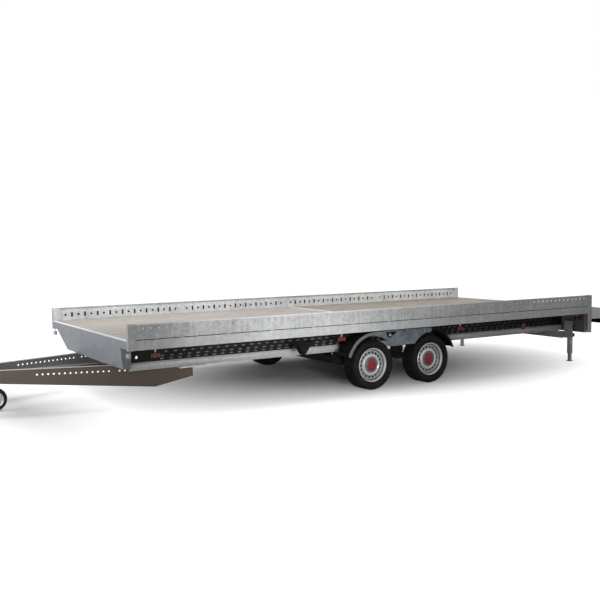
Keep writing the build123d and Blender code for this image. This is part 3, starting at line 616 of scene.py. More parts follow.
def rail_half(shape, lining, start, end, small_hole):
    """One length of rail: two perforated walls, the foot's bottom and top, the lip and its bead, bright as a
    painted highlight.
    """
    places = [(first_hole + hole_pitch * k, k % group) for k in range(groups * group)]
    inside = [(s, k) for s, k in places if start < s < end]
    straps = [(s, k) for s, k in inside if k < group - 1]
    outer = [(start, rail_low.z), (end, rail_low.z), (end, rail_high.z), (start, rail_high.z)]
    inner = [(start, rail_low.z), (end, rail_low.z), (end, shoulder), (start, shoulder)]
    perforated(shape, [outer], [(s, upper_row) for s, k in inside], [], on_side(rail_out - wall),
               Thickness=wall, Round_size=small_hole, Finish=zinc_rail)
    perforated(shape, [inner], [(s, strap_row) for s, k in straps if k % 2 == 0],
               [(s, strap_row) for s, k in straps if k % 2], on_side(rail_in),
               Thickness=wall, Round_size=0.026, Slot_width=0.022, Slot_height=0.054, Finish=zinc_rail)
    foot_in, foot_out = rail_in + wall, rail_out - wall
    lip_in = rail_out - lip_depth
    painted_shade_in = foot_in + painted_shade_gap
    # a dark strip inside the foot, painted shade that keeps the strap holes black
    block(lining, start + painted_shade_sheet, end - painted_shade_sheet, painted_shade_in, painted_shade_in + painted_shade_sheet,
          rail_low.z + 0.005, shoulder - 0.005)
    block(shape, start, end, foot_in, foot_out, rail_low.z, rail_low.z + wall)
    block(shape, start, end, foot_in, foot_out, shoulder - wall, shoulder)
    block(shape, start, end, lip_in, foot_out, rail_high.z - wall, rail_high.z)
    block(shape, start, end, rail_out - 0.0005, rail_out + wall / 2, bead_foot, bead_top)
    block(shape, start, end, lip_in, lip_in + wall, bead_foot, rail_high.z - wall)


def strap_rail(node, small_hole, right):
    """A rail of two lengths, with its strip and dashes of painted shade, on the left side or turned to the
    right.
    """
    shape, lining = bmesh.new(), bmesh.new()
    rail_half(shape, lining, rail_start, seam - seam_gap / 2, small_hole)
    rail_half(shape, lining, seam + seam_gap / 2, rail_end, small_hole)
    # the bead's outward faces take bright zinc, a painted highlight along the top of the rail
    for face in shape.faces:
        face.material_index = int(face.calc_center_median().y > rail_out + 0.0003)
    # dark dashes along the outer edge, the painted shadow of the gap to the beam below
    for k in range(dash_count):
        dash = 0.05 + dash_pitch * k
        block(lining, dash, min(dash + dash_length, rail_end - 0.01), rail_out - 0.0005, rail_out + 0.0007,
              rail_low.z - 0.001, rail_low.z + 0.004)
    for half in (shape, lining):
        if right:
            to_right(half)
    finish(lining, node + "_lining", shade_black, [node], smooth=20)
    finish(shape, node + "_perforated", [zinc_rail, bright_zinc_and_highlight], [node], smooth=20)


strap_rail("left_side_rail", 0.015, False)
strap_rail("right_side_rail", 0.005, True)
print("rails:", made[-2:])

# %% Edge beams and corner posts
dress("edge_beams", zinc_beam)
# the rear posts' faces that look forwards take bright zinc as a painted highlight
dress("corner_posts", [zinc_rail, bright_zinc_and_highlight], 0.001,
      lambda face: int(face.normal.x > 0.9 and face.calc_center_median().x < 0))
print("dressed:", made[-2:])

# %% Bolts of the rails and posts
post_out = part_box("corner_posts")[1].y
cross_pitch = 0.490
cross_stations = [0.100 + cross_pitch * k for k in range(13)]
beam_bolt_z = 0.648
rail_bolt_z = 0.7
post_bolt_heights = (0.645, 0.675, 0.75, 0.785, 0.82)
rear_post_heights = (0.42, 0.5) + post_bolt_heights
front_post_bolts = (0.022, 0.053)
rear_post_bolts = (6.08, 6.118)
beam_rivet = (0.012, 0.0025, 0.015, 12)
rail_rivet = (0.010, 0.002, 0.012, 12)
post_bolt = (0.011, 0.003, 0.015, 6)
for side in (1, -1):
    outward = (0, side, 0)
    bolt_up([(station(s + d), side * rail_out, beam_bolt_z) for s in cross_stations[1:-1]
             for d in (-0.02, 0.02)], outward, beam_rivet)
    bolt_up([(station(s + cross_pitch / 2), side * rail_out, rail_bolt_z) for s in cross_stations[:-1]],
            outward, rail_rivet)
    for s in front_post_bolts:
        bolt_up([(station(s), side * post_out, z) for z in post_bolt_heights], outward, post_bolt)
    for s in rear_post_bolts:
        bolt_up([(station(s), side * post_out, z) for z in rear_post_heights], outward, post_bolt)
print("bolt lists:", len(bolt_lists))

# %% [markdown]
# ## Deck
# Two boards of resin-coated plywood lie between the rails, the rear one browner, with a steel strip over
# their joint and rows of flat screws at every cross member. The boards' shape is already right, so they keep
# their CAD mesh and only get a finish: streaks along the trailer, broad wear and a fine pressed mesh. The
# loading tail has stamped grips, and a thin cheek closes each of its ends; the cheeks and the tail's side
# faces take bright zinc as a painted highlight.

# %% Finishes of the boards
board, given, wanted = start_group("coated board", "ShaderNodeTree", [
    ("Light", "NodeSocketColor", (0.6, 0.52, 0.42, 1)), ("Dark", "NodeSocketColor", (0.42, 0.35, 0.27, 1))],
    [("Color", "NodeSocketColor"), ("Height", "NodeSocketFloat")])
share = 0.6
streaks = maths(board, "MULTIPLY", noise(board, stretched(board, (1.2, 14, 1)), 1.0, 5, 0.6), share)
wear = maths(board, "MULTIPLY", noise(board, stretched(board, (0.7, 1.1, 1)), 1.3, 3), share)
both = spread(board, maths(board, "ADD", streaks, wear), 0.35, 0.85)
pressed = add(board, "ShaderNodeTexVoronoi", {"Vector": stretched(board), "Scale": 160.0}, feature="F1")
board.links.new(mixed(board, both, given["Dark"], given["Light"]), wanted["Color"])
board.links.new(pressed.outputs["Distance"], wanted["Height"])


def board_finish(name, light, dark):
    """Resin-coated plywood between two browns."""
    material, tree, shader = start_material(name, Specular_IOR_Level=0.3, Coat_Weight=0.1,
                                            Coat_Roughness=0.35)
    wood = use(tree, board, Light=(*light, 1), Dark=(*dark, 1))
    dirtied = use(tree, dirt, Color=wood["Color"], Amount=0.12, Scale=3.0)
    surface = use(tree, grain, Scale=300.0, Smooth=0.4, Rough=0.6)
    tree.links.new(dirtied["Color"], shader["Base Color"])
    tree.links.new(surface["Roughness"], shader["Roughness"])
    raise_surface(tree, shader, wood["Height"], 0.3, 0.0006)
    return material


front_board = board_finish("phenolic deck board", (0.365, 0.335, 0.305), (0.26, 0.23, 0.20))
rear_board = board_finish("browner deck board", (0.245, 0.21, 0.165), (0.16, 0.13, 0.088))
print("boards:", front_board.name, rear_board.name)

# %% Boards, joint strip and screws
for node, coat in (("deck_front_panel", front_board), ("deck_rear_panel", rear_board)):
    for slot in frame["nodes"][node].material_slots:
        slot.material = coat
dress("deck_joint_strip", bright_zinc_and_highlight, 0.0008)
screw_pitch = 0.225
screw_rows = [screw_pitch * k for k in range(-5, 6)]
deck_screw = (0.011, 0.0012, 0.014, 12)
up = (0, 0, 1)
bolt_up([(station(s), y, deck_top) for s in cross_stations[1:-1] for y in screw_rows], up, deck_screw)
print(len(screw_rows), "screws at each cross member")

# %% Loading tail with its cheeks and grips
# the tail's side faces take bright zinc as a painted highlight
dress("loading_tail", [zinc_rail, bright_zinc_and_highlight], choose=lambda face: int(abs(face.normal.y) > 0.9))
tail_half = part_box("loading_tail")[1].y
cheek_start, cheek_end = 6.112, 6.530
cheek_foot = 0.548
# thin cheeks over the tail's ends, in bright zinc as a painted highlight
cheek = bmesh.new()
across(cheek, [(cheek_start, deck_top - 0.003), (cheek_end, deck_top - 0.050), (cheek_end, cheek_foot),
               (cheek_start, cheek_foot)], tail_half + 0.0003, tail_half + 0.003)
mirrored(cheek)
finish(cheek, "loading_tail_cheeks", bright_zinc_and_highlight, body="chassis", bevel=0.0005)
tail_front = Vector((station(6.14), 0, deck_top))
tail_back = Vector((station(6.54), 0, deck_top - 0.05))
tail_up = (tail_back - tail_front).cross(Vector((0, -1, 0))).normalized()
grip_rows = 7
grip_columns = 37
grip_pitch = 0.06
stamped_grip = (0.012, 0.003, 0.019, 10)
grips = []
for row in range(grip_rows):
    on_tail = tail_front.lerp(tail_back, (row + 0.7) / (grip_rows + 0.4))
    shift = 0.5 * (row % 2) - grip_columns // 2
    grips += [on_tail + Vector((0, (k + shift) * grip_pitch, 0)) for k in range(grip_columns)]
bolt_up(grips, tail_up, stamped_grip)
print(len(grips), "grips on the tail, which slopes up at", [round(v, 2) for v in tail_up])

# %% [markdown]
# ## Chassis
# Under the deck, two tall folded members run the whole length. Behind their plain front ends, the webs are
# full of oval holes that save weight. The webs are near black as painted shade, with a grey strip behind the
# holes as painted shade too, and a brighter boom runs along each foot. The webs are perforated sheets again.

# %% Finishes of the chassis
zinc_boom = zinc_finish("galvanised boom", dark=(0.44, 0.45, 0.45), light=(0.62, 0.63, 0.63), crystal=0.03,
                        runs=0.2)
# darker zinc: painted shade behind the web slots and on the apron's side faces; also the cross members and
# guard hangers
zinc_chassis_and_shade = zinc_finish("galvanised chassis and painted shade", dark=(0.16, 0.165, 0.17), light=(0.28, 0.285, 0.29),
                           crystal=0.02, runs=0.4)
zinc_apron = zinc_finish("galvanised apron", dark=(0.26, 0.28, 0.305), light=(0.36, 0.385, 0.42),
                         crystal=0.05, runs=0.25, metallic=0.2, dirty=0.08)
print("finishes:", zinc_boom.name, zinc_chassis_and_shade.name, zinc_apron.name)

# %% Webs with rows of slots
web_low, web_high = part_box("left_longitudinal")
web_start = front_x - web_high.x
web_end = front_x - web_low.x
web_sheet = 0.004
web_in = web_high.y - web_sheet
slot_pitch = 0.0919
first_slot = 0.485
slot_rows = ((0.477, 0.0), (0.505, 0.1), (0.543, 0.5))
slots_in_row = int((web_end - first_slot - 0.1) / slot_pitch)
front_hole = (0.224, 0.509)


def chassis_web(node, right):
    """A near-black web of painted shade with its rows of slots and its top flange, and a grey strip of
    painted shade behind the slots.
    """
    shape, lining = bmesh.new(), bmesh.new()
    slots = [(first_slot + slot_pitch * (k + shift), z) for z, shift in slot_rows
             for k in range(slots_in_row)]
    outline = [(web_start, web_low.z), (web_end, web_low.z), (web_end, web_high.z), (web_start, web_high.z)]
    perforated(shape, [outline], [front_hole], slots, on_side(web_in), Thickness=web_sheet,
               Round_size=0.026, Slot_width=0.046, Slot_height=0.014, Slot_corner=0.0068, Finish=shade_black)
    block(shape, web_start, web_end, web_low.y, web_in, web_high.z - web_sheet, web_high.z)
    # a grey strip behind the slots, painted shade seen through them
    block(lining, first_slot - 0.06, web_end - 0.06, web_in - 0.014, web_in - 0.012, 0.462, 0.56)
    for half in (shape, lining):
        if right:
            to_right(half)
    finish(lining, node + "_lining", zinc_chassis_and_shade, [node], smooth=20)
    finish(shape, node + "_web", shade_black, [node], smooth=20)


chassis_web("left_longitudinal", False)
chassis_web("right_longitudinal", True)
print("webs:", made[-3:])

# %% Booms and their bolts
dress("lower_booms", zinc_boom)
boom_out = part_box("lower_booms")[1].y
boom_bolt_z = 0.425
boom_bolts = [0.27, 0.35] + [0.6 + cross_pitch * k for k in range(11)]
boom_bolt = (0.014, 0.005, 0.02, 6)
for side in (1, -1):
    bolt_up([(station(s), side * boom_out, boom_bolt_z) for s in boom_bolts], (0, side, 0), boom_bolt)
print(len(boom_bolts), "bolts along each boom")

# %% Cross members, brackets and light bar
for node, coat in (("cross_members", zinc_chassis_and_shade), ("rear_cross_member", zinc_chassis_and_shade),
                   ("leg_beam", zinc_beam), ("drawbar_clamps", bright_zinc_and_highlight),
                   ("tail_brackets", bright_zinc_and_highlight), ("rear_light_bar", zinc_beam)):
    dress(node, coat)
print("dressed:", made[-6:])

# %% Front apron, its bright edge strip as painted highlight, and its bolts
# the apron's faces turned sideways take the darker chassis zinc as painted shade
dress("front_apron", [zinc_apron, zinc_chassis_and_shade], 0.001, lambda face: int(abs(face.normal.y) > 0.5))
# a bright strip over the deck's front edge, a painted highlight on the apron's fold
trim_out, trim_back = -0.0015, 0.030
trim_foot, trim_under, trim_top = deck_top - 0.004, deck_top + 0.0002, deck_top + 0.003
trim = bmesh.new()
across(trim, [(0.0, trim_foot), (trim_out, trim_foot), (trim_out, trim_top), (trim_back, trim_top),
              (trim_back, trim_under), (0.0, trim_under)], -rail_in, rail_in)
finish(trim, "front_edge_trim", bright_zinc_and_highlight, body="chassis", bevel=0.0005)
lean_top = Vector((front_x, 0, deck_top - 0.075))
lean_foot = Vector((front_x - 0.07, 0, 0.417))
lean_out = Vector((0, 1, 0)).cross(lean_top - lean_foot).normalized()
flange_bolt = (0.014, 0.006, 0.022, 6)
apron_rivet = (0.010, 0.0025, 0.013, 12)
rivet_pitch = 0.2
for y, share_up in ((0.82, 0.14), (0.80, 0.24), (0.62, 0.1), (0.5, 0.1), (0.1, 0.1)):
    for side in (1, -1):
        place = lean_foot.lerp(lean_top, share_up) + Vector((0, side * y, 0))
        bolt_up([place], lean_out, flange_bolt)
bolt_up([(front_x + 0.0005, rivet_pitch * k, deck_top - 0.045) for k in range(-5, 6)], (1, 0, 0),
        apron_rivet)
print("apron leans out at", [round(v, 2) for v in lean_out])

# %% [markdown]
# ## Drawbar
# Two tapered arms of folded plate run from under the deck to the overrun device, deepest at the knee. The web
# of each arm has a row of round holes. Each arm is drawn flat as a perforated sheet with its flanges, then
# turned into place. Its powder coat is taupe outside; the faces that look up are pale as a painted highlight,
# and the other faces greyer as a painted reflection.

# %% Finishes of the drawbar
taupe_coat = coated_finish("taupe powder coat", colour=(0.135, 0.102, 0.082), smooth=0.42, rough=0.55,
                           scale=420.0, bare=(0.2, 0.18, 0.16), worn=0.12, dirty=0.1)
# grey coats the drawbar bridges and, as a painted reflection, the arms' other faces; pale is a painted
# highlight
grey_coat_and_reflection = coated_finish("grey powder coat and painted reflection", colour=(0.25, 0.26, 0.245), smooth=0.45, rough=0.6,
                          scale=420.0, bare=(0.25, 0.25, 0.24), worn=0.15, dirty=0.12)
highlight_coat = coated_finish("powder coat with painted highlight", colour=(0.50, 0.47, 0.45), smooth=0.4, rough=0.5, scale=420.0,
                          bare=(0.5, 0.5, 0.5), worn=0.2, dirty=0.1)
print("finishes:", taupe_coat.name, grey_coat_and_reflection.name, highlight_coat.name)

# %% Drawbar arms
arm_spread = 0.31
arm_front = -1.40
arm_rear = 0.8
arm_front_y = 0.1105
arm_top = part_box("left_drawbar_arm")[1].z
arm_stretch = sqrt(1 + arm_spread ** 2)
arm_length = (arm_rear - arm_front) * arm_stretch
knee_station = 0.45
arm_knee = (knee_station - arm_front) * arm_stretch
arm_sheet = 0.005
arm_flange = 0.06
front_foot, knee_foot, rear_foot = 0.334, 0.196, 0.284
arm_hole = 0.017
row_start, rear_pair_start = 0.8597, 1.6087
row_pitch = 0.05
row_z = 0.366
front_arm_hole = (0.3677, 0.385)
arm_place = (Matrix.Translation((station(arm_front), arm_front_y, 0))
             @ Matrix.Rotation(-atan(arm_spread), 4, "Z"))
flat_to_arm = Matrix(((-1, 0, 0, 0), (0, 0, 1, -arm_sheet), (0, 1, 0, 0), (0, 0, 0, 1)))


def drawbar_arm(node, right):
    """An arm drawn flat and turned into place: web with its holes, foot flange with the knee, top flange."""
    web = [(0, front_foot), (arm_knee, knee_foot), (arm_length, rear_foot), (arm_length, arm_top),
           (0, arm_top)]
    row = [(row_start + row_pitch * k, row_z) for k in range(14)]
    rear_pair = [(rear_pair_start + row_pitch * k, row_z) for k in range(2)]
    shape = bmesh.new()
    perforated(shape, [web], row + rear_pair + [front_arm_hole], [], flat_to_arm,
               Thickness=arm_sheet, Round_size=arm_hole, Finish=taupe_coat)
    foot = web[:3] + [(u, z + arm_sheet) for u, z in web[2::-1]]
    head = [(0, arm_top - arm_sheet), (arm_length, arm_top - arm_sheet), (arm_length, arm_top), (0, arm_top)]
    for outline in (foot, head):
        bridge(shape, [[(-u, y, z) for u, z in outline] for y in (-arm_flange, -arm_sheet)])
    shape.normal_update()
    for face in shape.faces:
        # taupe outside, pale upward faces as a painted highlight, the other faces greyer as a painted
        # reflection
        face.material_index = 0 if face.normal.y > 0.5 else 2 if face.normal.z > 0.9 else 1
    shape.transform(arm_place)
    if right:
        to_right(shape)
    finish(shape, node + "_plate", [taupe_coat, grey_coat_and_reflection, highlight_coat], [node], smooth=20)


drawbar_arm("left_drawbar_arm", False)
drawbar_arm("right_drawbar_arm", True)
dress("drawbar_bridges", grey_coat_and_reflection)
print("arms:", made[-3:])


# %% [markdown]
# ## Overrun device and coupling
# The coupling head sits on a tube that slides in a cast housing, with a rubber bellows between. Turned forms
# suit the tube, collar and bellows. The head is a run of rounded sections, from the collar to the cup over
# the ball. Housing and levers are black, and the tube and head are bright zinc plate.

# %% Finishes of the coupling
zinc_plating = zinc_finish("zinc plating", dark=(0.32, 0.32, 0.31), light=(0.56, 0.56, 0.54), crystal=0.004,
                           runs=0.1, metallic=0.5, dirty=0.05)
black_coat = coated_finish("black coated steel", colour=(0.014, 0.014, 0.014), smooth=0.35, rough=0.5,
                           scale=420.0, bare=(0.1, 0.1, 0.1), worn=0.3, dirty=0.1, specular=0.2)
soft_rubber = coated_finish("soft rubber", colour=(0.012, 0.012, 0.013), smooth=0.55, rough=0.7,
                            scale=500.0, bare=(0.05, 0.05, 0.05), worn=0.1, dirty=0.1, specular=0.2)
print("finishes:", zinc_plating.name, black_coat.name, soft_rubber.name)

# %% Cast housing
tow_z = 0.405
round_sides = 40
backwards = (-1, 0, 0)


def on_drawbar(s):
    """Point on the middle line of the coupling tube."""
    return (station(s), 0, tow_z)


def rounded_ring(s, y, low, high, corner, parts=4):
    """Upright rounded rectangle across the drawbar, as a ring of points."""
    ring = []
    for turn, (cy, cz) in enumerate(((y - corner, high - corner), (corner - y, high - corner),
                                     (corner - y, low + corner), (y - corner, low + corner))):
        for k in range(parts + 1):
            angle = (turn + k / parts) * pi / 2
            ring.append((station(s), cy + corner * cos(angle), tow_z + cz + corner * sin(angle)))
    return ring


tube_bore = 0.0352
housing_r = 0.042
housing_profile = [(tube_bore, 0), (0.046, 0), (0.049, 0.004), (0.049, 0.026), (0.045, 0.032),
                   (housing_r, 0.045), (housing_r, 0.44), (0.046, 0.443), (0.046, 0.455), (tube_bore, 0.455)]
ears = [(-1.44, 0.044), (-1.395, 0.107), (-1.16, 0.180)]
ear_low, ear_high = 0.417, 0.425
shape = bmesh.new()
lathe(shape, housing_profile, on_drawbar(-1.575), backwards, round_sides, True)
bridge(shape, [rounded_ring(s, y, -0.048, 0.0125, 0.010) for s, y in
               ((-1.44, 0.040), (-1.43, 0.044), (-1.15, 0.044), (-1.14, 0.040))])
upright(shape, [(s, -y) for s, y in ears] + ears[::-1], ear_low, ear_high)
for s in (-1.50, -1.42, -1.30):
    block(shape, s - 0.004, s + 0.004, -0.044, 0.044, tow_z - 0.044, tow_z + 0.046)
finish(shape, "overrun_housing_cast", black_coat, ["overrun_housing"], bevel=0.0015)
housing_bolt = (0.019, 0.011, 0.028, 6)
bolt_up([(station(s), side * y, ear_high) for s, y in ((-1.375, 0.088), (-1.27, 0.120), (-1.18, 0.148))
         for side in (1, -1)], up, housing_bolt)
print("housing:", made[-1])

# %% Bellows
bellows_length = 0.160
fold_count = 8
fold = bellows_length / fold_count
mouth_r, valley_r, ridge_r = 0.0355, 0.0375, 0.046
bellows_profile = [(mouth_r, 0)]
for k in range(fold_count):
    bellows_profile += [(valley_r, fold * (k + 0.08)), (ridge_r, fold * (k + 0.42)),
                        (ridge_r, fold * (k + 0.58)), (valley_r, fold * (k + 0.92))]
bellows_profile += [(mouth_r, bellows_length)]
shape = bmesh.new()
lathe(shape, bellows_profile, on_drawbar(-1.735), backwards, round_sides, True)
finish(shape, "gaiter_bellows", soft_rubber, ["gaiter"], smooth=60)
print("bellows:", made[-1])

# %% Coupling head with its handle
tube_start = -1.9
tube_r = 0.034
collar_r = 0.040
cup_r = 0.040
ball_s = -2.008
head_sections = ((-1.88, 0.034, -0.030, 0.034, 0.016), (-1.92, 0.034, -0.027, 0.035, 0.016),
                 (-1.96, 0.032, -0.024, 0.036, 0.014), (-1.99, 0.030, -0.020, 0.034, 0.012))
cup_profile = [(0.0, 0.036), (0.016, 0.035), (0.029, 0.028), (0.037, 0.014), (cup_r, -0.004),
               (0.0405, -0.024), (0.030, -0.024), (0.0256, -0.020), (0.0256, 0.006), (0.0, 0.006)]
shape = bmesh.new()
lathe(shape, [(0.0, 0), (tube_r, 0), (tube_r, 0.92), (0.0, 0.92)], on_drawbar(tube_start), backwards,
      round_sides)
lathe(shape, [(0.0345, 0), (collar_r, 0.003), (collar_r, 0.097), (0.0345, 0.1)], on_drawbar(tube_start),
      backwards, round_sides, True)
bridge(shape, [rounded_ring(*section) for section in head_sections])
lathe(shape, cup_profile, on_drawbar(ball_s), up, round_sides)
finish(shape, "coupling_head_pressed", zinc_plating, ["coupling_head"], bevel=0.0006)
coupling_bolt = (0.019, 0.01, 0.024, 6)
bolt_up([(station(-1.875), side * collar_r, tow_z) for side in (1, -1)], (0, 1, 0), coupling_bolt)
dress("coupling_handle", black_coat, 0.003)
print("front of the drawbar:", made[-4:])

# %% Brake lever and rod
dress("brake_rod", zinc_plating, 0.001)
lever_outline = [(-1.330, 0.425), (-1.290, 0.425), (-1.270, 0.760), (-1.300, 0.760)]
shape = bmesh.new()
across(shape, lever_outline, 0.048, 0.056)
finish(shape, "handbrake_lever_bar", black_coat, ["handbrake_lever"], bevel=0.002)
grip_base = Vector((station(-1.285), 0.052, 0.755))
grip_top = Vector((station(-1.280), 0.052, 0.880))
grip_r, groove_r = 0.0125, 0.0108
finger_pitch = 0.015
grip_profile = [(0.0, 0), (0.011, 0.0), (grip_r, 0.004)]
for k in range(6):
    finger = finger_pitch * k
    grip_profile += [(grip_r, 0.016 + finger), (groove_r, 0.0185 + finger), (groove_r, 0.0215 + finger),
                     (grip_r, 0.024 + finger)]
grip_profile += [(grip_r, 0.117), (0.009, 0.123), (0.0, 0.125)]
shape = bmesh.new()
lathe(shape, grip_profile, grip_base, grip_top - grip_base, 28)
finish(shape, "handbrake_grip", soft_rubber, ["handbrake_lever"], smooth=50)

# %% [markdown]
# ## Jockey wheel
# A screw in the outer tube drives the inner tube down; its fork swivels and carries a solid tyre on a small
# bright disc with eight spokes. The tubes are turned with many sides, so that their round edges stay smooth
# close up.

# %% Outer tube and clamp
jockey_s = -0.955
jockey_foot = (station(jockey_s), 0, 0)
tube_top = 0.800
shape = bmesh.new()
lathe(shape, [(0.0215, 0.378), (0.0235, 0.378), (0.024, 0.380), (0.024, 0.796), (0.022, tube_top),
              (0.0, tube_top), (0.0, 0.790), (0.0215, 0.790)], jockey_foot, up, round_sides, True)
lathe(shape, [(0.0245, 0.738), (0.0265, 0.740), (0.0265, 0.786), (0.0245, 0.788)], jockey_foot, up,
      round_sides, True)
finish(shape, "jockey_tube_round", zinc_plating, ["jockey_tube"], smooth=40)
jaw = [(0.039, 0.034), (0.039, -0.034), (0.006, -0.034), (0.006, -0.026), (0.022, -0.013), (0.0265, 0.0),
       (0.022, 0.013), (0.006, 0.026), (0.006, 0.034)]
shape = bmesh.new()
for half in (1, -1):
    upright(shape, [(jockey_s + half * s, y) for s, y in jaw], 0.412, 0.452)
finish(shape, "jockey_clamp", black_coat, ["jockey_tube"], bevel=0.002)

# %% Crank, with its arm towards the coupling
crank_reach = 0.110
crank_half = 0.011
arm_end = jockey_s - crank_reach
shape = bmesh.new()
lathe(shape, [(0.0, tube_top), (0.0095, tube_top), (0.0095, 0.812), (0.0, 0.812)], jockey_foot, up, 24)
block(shape, arm_end - crank_half, jockey_s + crank_half, -0.010, 0.010, 0.8015, 0.8095)
finish(shape, "jockey_crank", zinc_plating, ["jockey_tube"], bevel=0.003)
shape = bmesh.new()
lathe(shape, [(0.0, 0.810), (0.009, 0.810), (0.0110, 0.816), (0.0105, 0.850), (0.0112, 0.885), (0.009, 0.897),
              (0.0, 0.900)], (station(arm_end), 0, 0), up, 28)
finish(shape, "jockey_crank_grip", black_coat, ["jockey_tube"], smooth=60)
print("crank:", made[-2:])

# %% Inner tube and fork
stem_low, stem_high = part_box("jockey_stem")
stem_r = 0.021
shape = bmesh.new()
lathe(shape, [(0.0, stem_low.z), (0.0185, stem_low.z), (stem_r, stem_low.z + 0.002),
              (stem_r, stem_high.z - 0.002), (0.019, stem_high.z), (0.0, stem_high.z)],
      jockey_foot, up, round_sides)
finish(shape, "jockey_stem_round", zinc_plating, ["jockey_stem"], smooth=40)
dress("jockey_fork", zinc_plating, 0.002)
print("inner tube from z =", round(stem_low.z, 3), "to", round(stem_high.z, 3))

# %% Jockey wheel with its disc
# bright silver: a painted highlight on the outer parts of the road wheels, and the jockey wheel's disc
bright_silver_and_highlight = coated_finish("bright silver and painted highlight", colour=(0.62, 0.63, 0.63), smooth=0.25, rough=0.4,
                          scale=700.0, bare=(0.4, 0.4, 0.4), worn=0.1, dirty=0.05, metallic=0.5, coat=0.2)
jockey_trail = 0.070
jockey_hub = (station(jockey_s + jockey_trail), 0, 0.110)
jockey_sides = 64
spoke_count = 8


def both_faces(half):
    """A profile from one face of a wheel to the other, from the points of its half with positive y."""
    return [(r, -y) for r, y in half] + [(r, y) for r, y in half[::-1] if y]


shape = bmesh.new()
lathe(shape, both_faces([(0.074, 0.025), (0.080, 0.028), (0.096, 0.028), (0.105, 0.022), (0.1098, 0.012),
                         (0.110, 0.0)]), jockey_hub, (0, 1, 0), jockey_sides, True)
finish(shape, "jockey_wheel_tyre", soft_rubber, ["jockey_wheel"], smooth=50)
shape = bmesh.new()
lathe(shape, both_faces([(0.0085, 0.030), (0.024, 0.030), (0.028, 0.024), (0.032, 0.007), (0.062, 0.005),
                         (0.068, 0.024), (0.0738, 0.026)]), jockey_hub, (0, 1, 0), jockey_sides, True)
spoke_section = ((-0.021, -0.003), (0.021, -0.003), (0.021, 0.003), (-0.021, 0.003))
for k in range(spoke_count):
    turn = Matrix.Translation(jockey_hub) @ Matrix.Rotation(2 * pi * k / spoke_count, 4, "Y")
    bridge(shape, [[turn @ Vector((r, y, z)) for y, z in spoke_section] for r in (0.026, 0.067)])
finish(shape, "jockey_wheel_disc", bright_silver_and_highlight, ["jockey_wheel"], smooth=30)
print("jockey wheel:", made[-2:])

# %% [markdown]
# ## Axles
# Each axle is a square tube with rubber springing inside and a trailing arm at each end. The CAD solid gives
# the tube and arms; the brake drums are turned again with their cooling ridge.

# %% Axles and brake drums
axle_stations = (2.709, 3.502)
wheel_radius = 0.2625
drum_in = 0.861
drum_profile = [(0.0, 0.0), (0.116, 0.0), (0.118, 0.004), (0.118, 0.012), (0.1165, 0.016), (0.1165, 0.062),
                (0.112, 0.070), (0.080, 0.0738), (0.0, 0.0738)]
for node, s in zip(("front_axle", "rear_axle"), axle_stations):
    # the axle tube and arms take near black as painted shade
    dress(node, shade_black, 0.003)
    shape = bmesh.new()
    for side in (1, -1):
        lathe(shape, drum_profile, (station(s), side * drum_in, wheel_radius), (0, side, 0), 48)
    finish(shape, node + "_drums", black_coat, [node], smooth=30)
print("axles:", made[-4:])

# %% [markdown]
# ## Road wheels
# The tyre is a turned carcass with grooves, and a geometry tree lays tread blocks round it in five rows. The
# steel wheel has a rolled lip, a dished disc with round vents, a raised ring and a plain hub cap in a grey
# ring. The disc is the perforated sheet again: two round outlines with eighteen holes between them. The
# parts that face out are a brighter silver as a painted highlight, and the groove behind the lip is dark as
# painted shade. A black disc behind the vents is painted shade too.

# %% Tree for the tread
treading, given, wanted = start_group("tread blocks", "GeometryNodeTree", [
    ("Base", "NodeSocketGeometry", None), ("Count", "NodeSocketInt", 64), ("Rows", "NodeSocketInt", 5),
    ("Radius", "NodeSocketFloat", 0.2585), ("Row pitch", "NodeSocketFloat", 0.031),
    ("Height", "NodeSocketFloat", 0.008), ("Width", "NodeSocketFloat", 0.025),
    ("Length", "NodeSocketFloat", 0.021), ("Slant", "NodeSocketFloat", 0.35),
    ("Finish", "NodeSocketMaterial", None)], [("Tread", "NodeSocketGeometry")])
index = add(treading, "GeometryNodeInputIndex").outputs[0]
row = maths(treading, "FLOOR", maths(treading, "DIVIDE", index, given["Count"]), 0.0)
in_row = maths(treading, "MODULO", index, given["Count"])
step = maths(treading, "ADD", in_row, maths(treading, "MULTIPLY", row, 0.5))
angle = maths(treading, "MULTIPLY", maths(treading, "DIVIDE", step, given["Count"]), 2 * pi)
middle = maths(treading, "MULTIPLY", maths(treading, "SUBTRACT", given["Rows"], 1.0), 0.5)
sideways = maths(treading, "MULTIPLY", maths(treading, "SUBTRACT", row, middle), given["Row pitch"])
spot = add(treading, "ShaderNodeCombineXYZ", {
    "X": maths(treading, "MULTIPLY", maths(treading, "COSINE", angle, 0.0), given["Radius"]), "Y": sideways,
    "Z": maths(treading, "MULTIPLY", maths(treading, "SINE", angle, 0.0), given["Radius"])}).outputs[0]
block_count = maths(treading, "MULTIPLY", given["Count"], given["Rows"])
spots = add(treading, "GeometryNodePoints", {"Count": block_count, "Position": spot}).outputs[0]
size = add(treading, "ShaderNodeCombineXYZ",
           {"X": given["Height"], "Y": given["Width"], "Z": given["Length"]}).outputs[0]
cube = add(treading, "GeometryNodeMeshCube", {"Size": size}).outputs[0]
round_turn = add(treading, "ShaderNodeCombineXYZ", {"Y": maths(treading, "MULTIPLY", angle, -1.0)}).outputs[0]
odd = maths(treading, "SUBTRACT", maths(treading, "MULTIPLY", maths(treading, "MODULO", row, 2.0), 2.0), 1.0)
slant = maths(treading, "MULTIPLY", odd, given["Slant"])
slant_turn = add(treading, "ShaderNodeCombineXYZ", {"X": slant}).outputs[0]
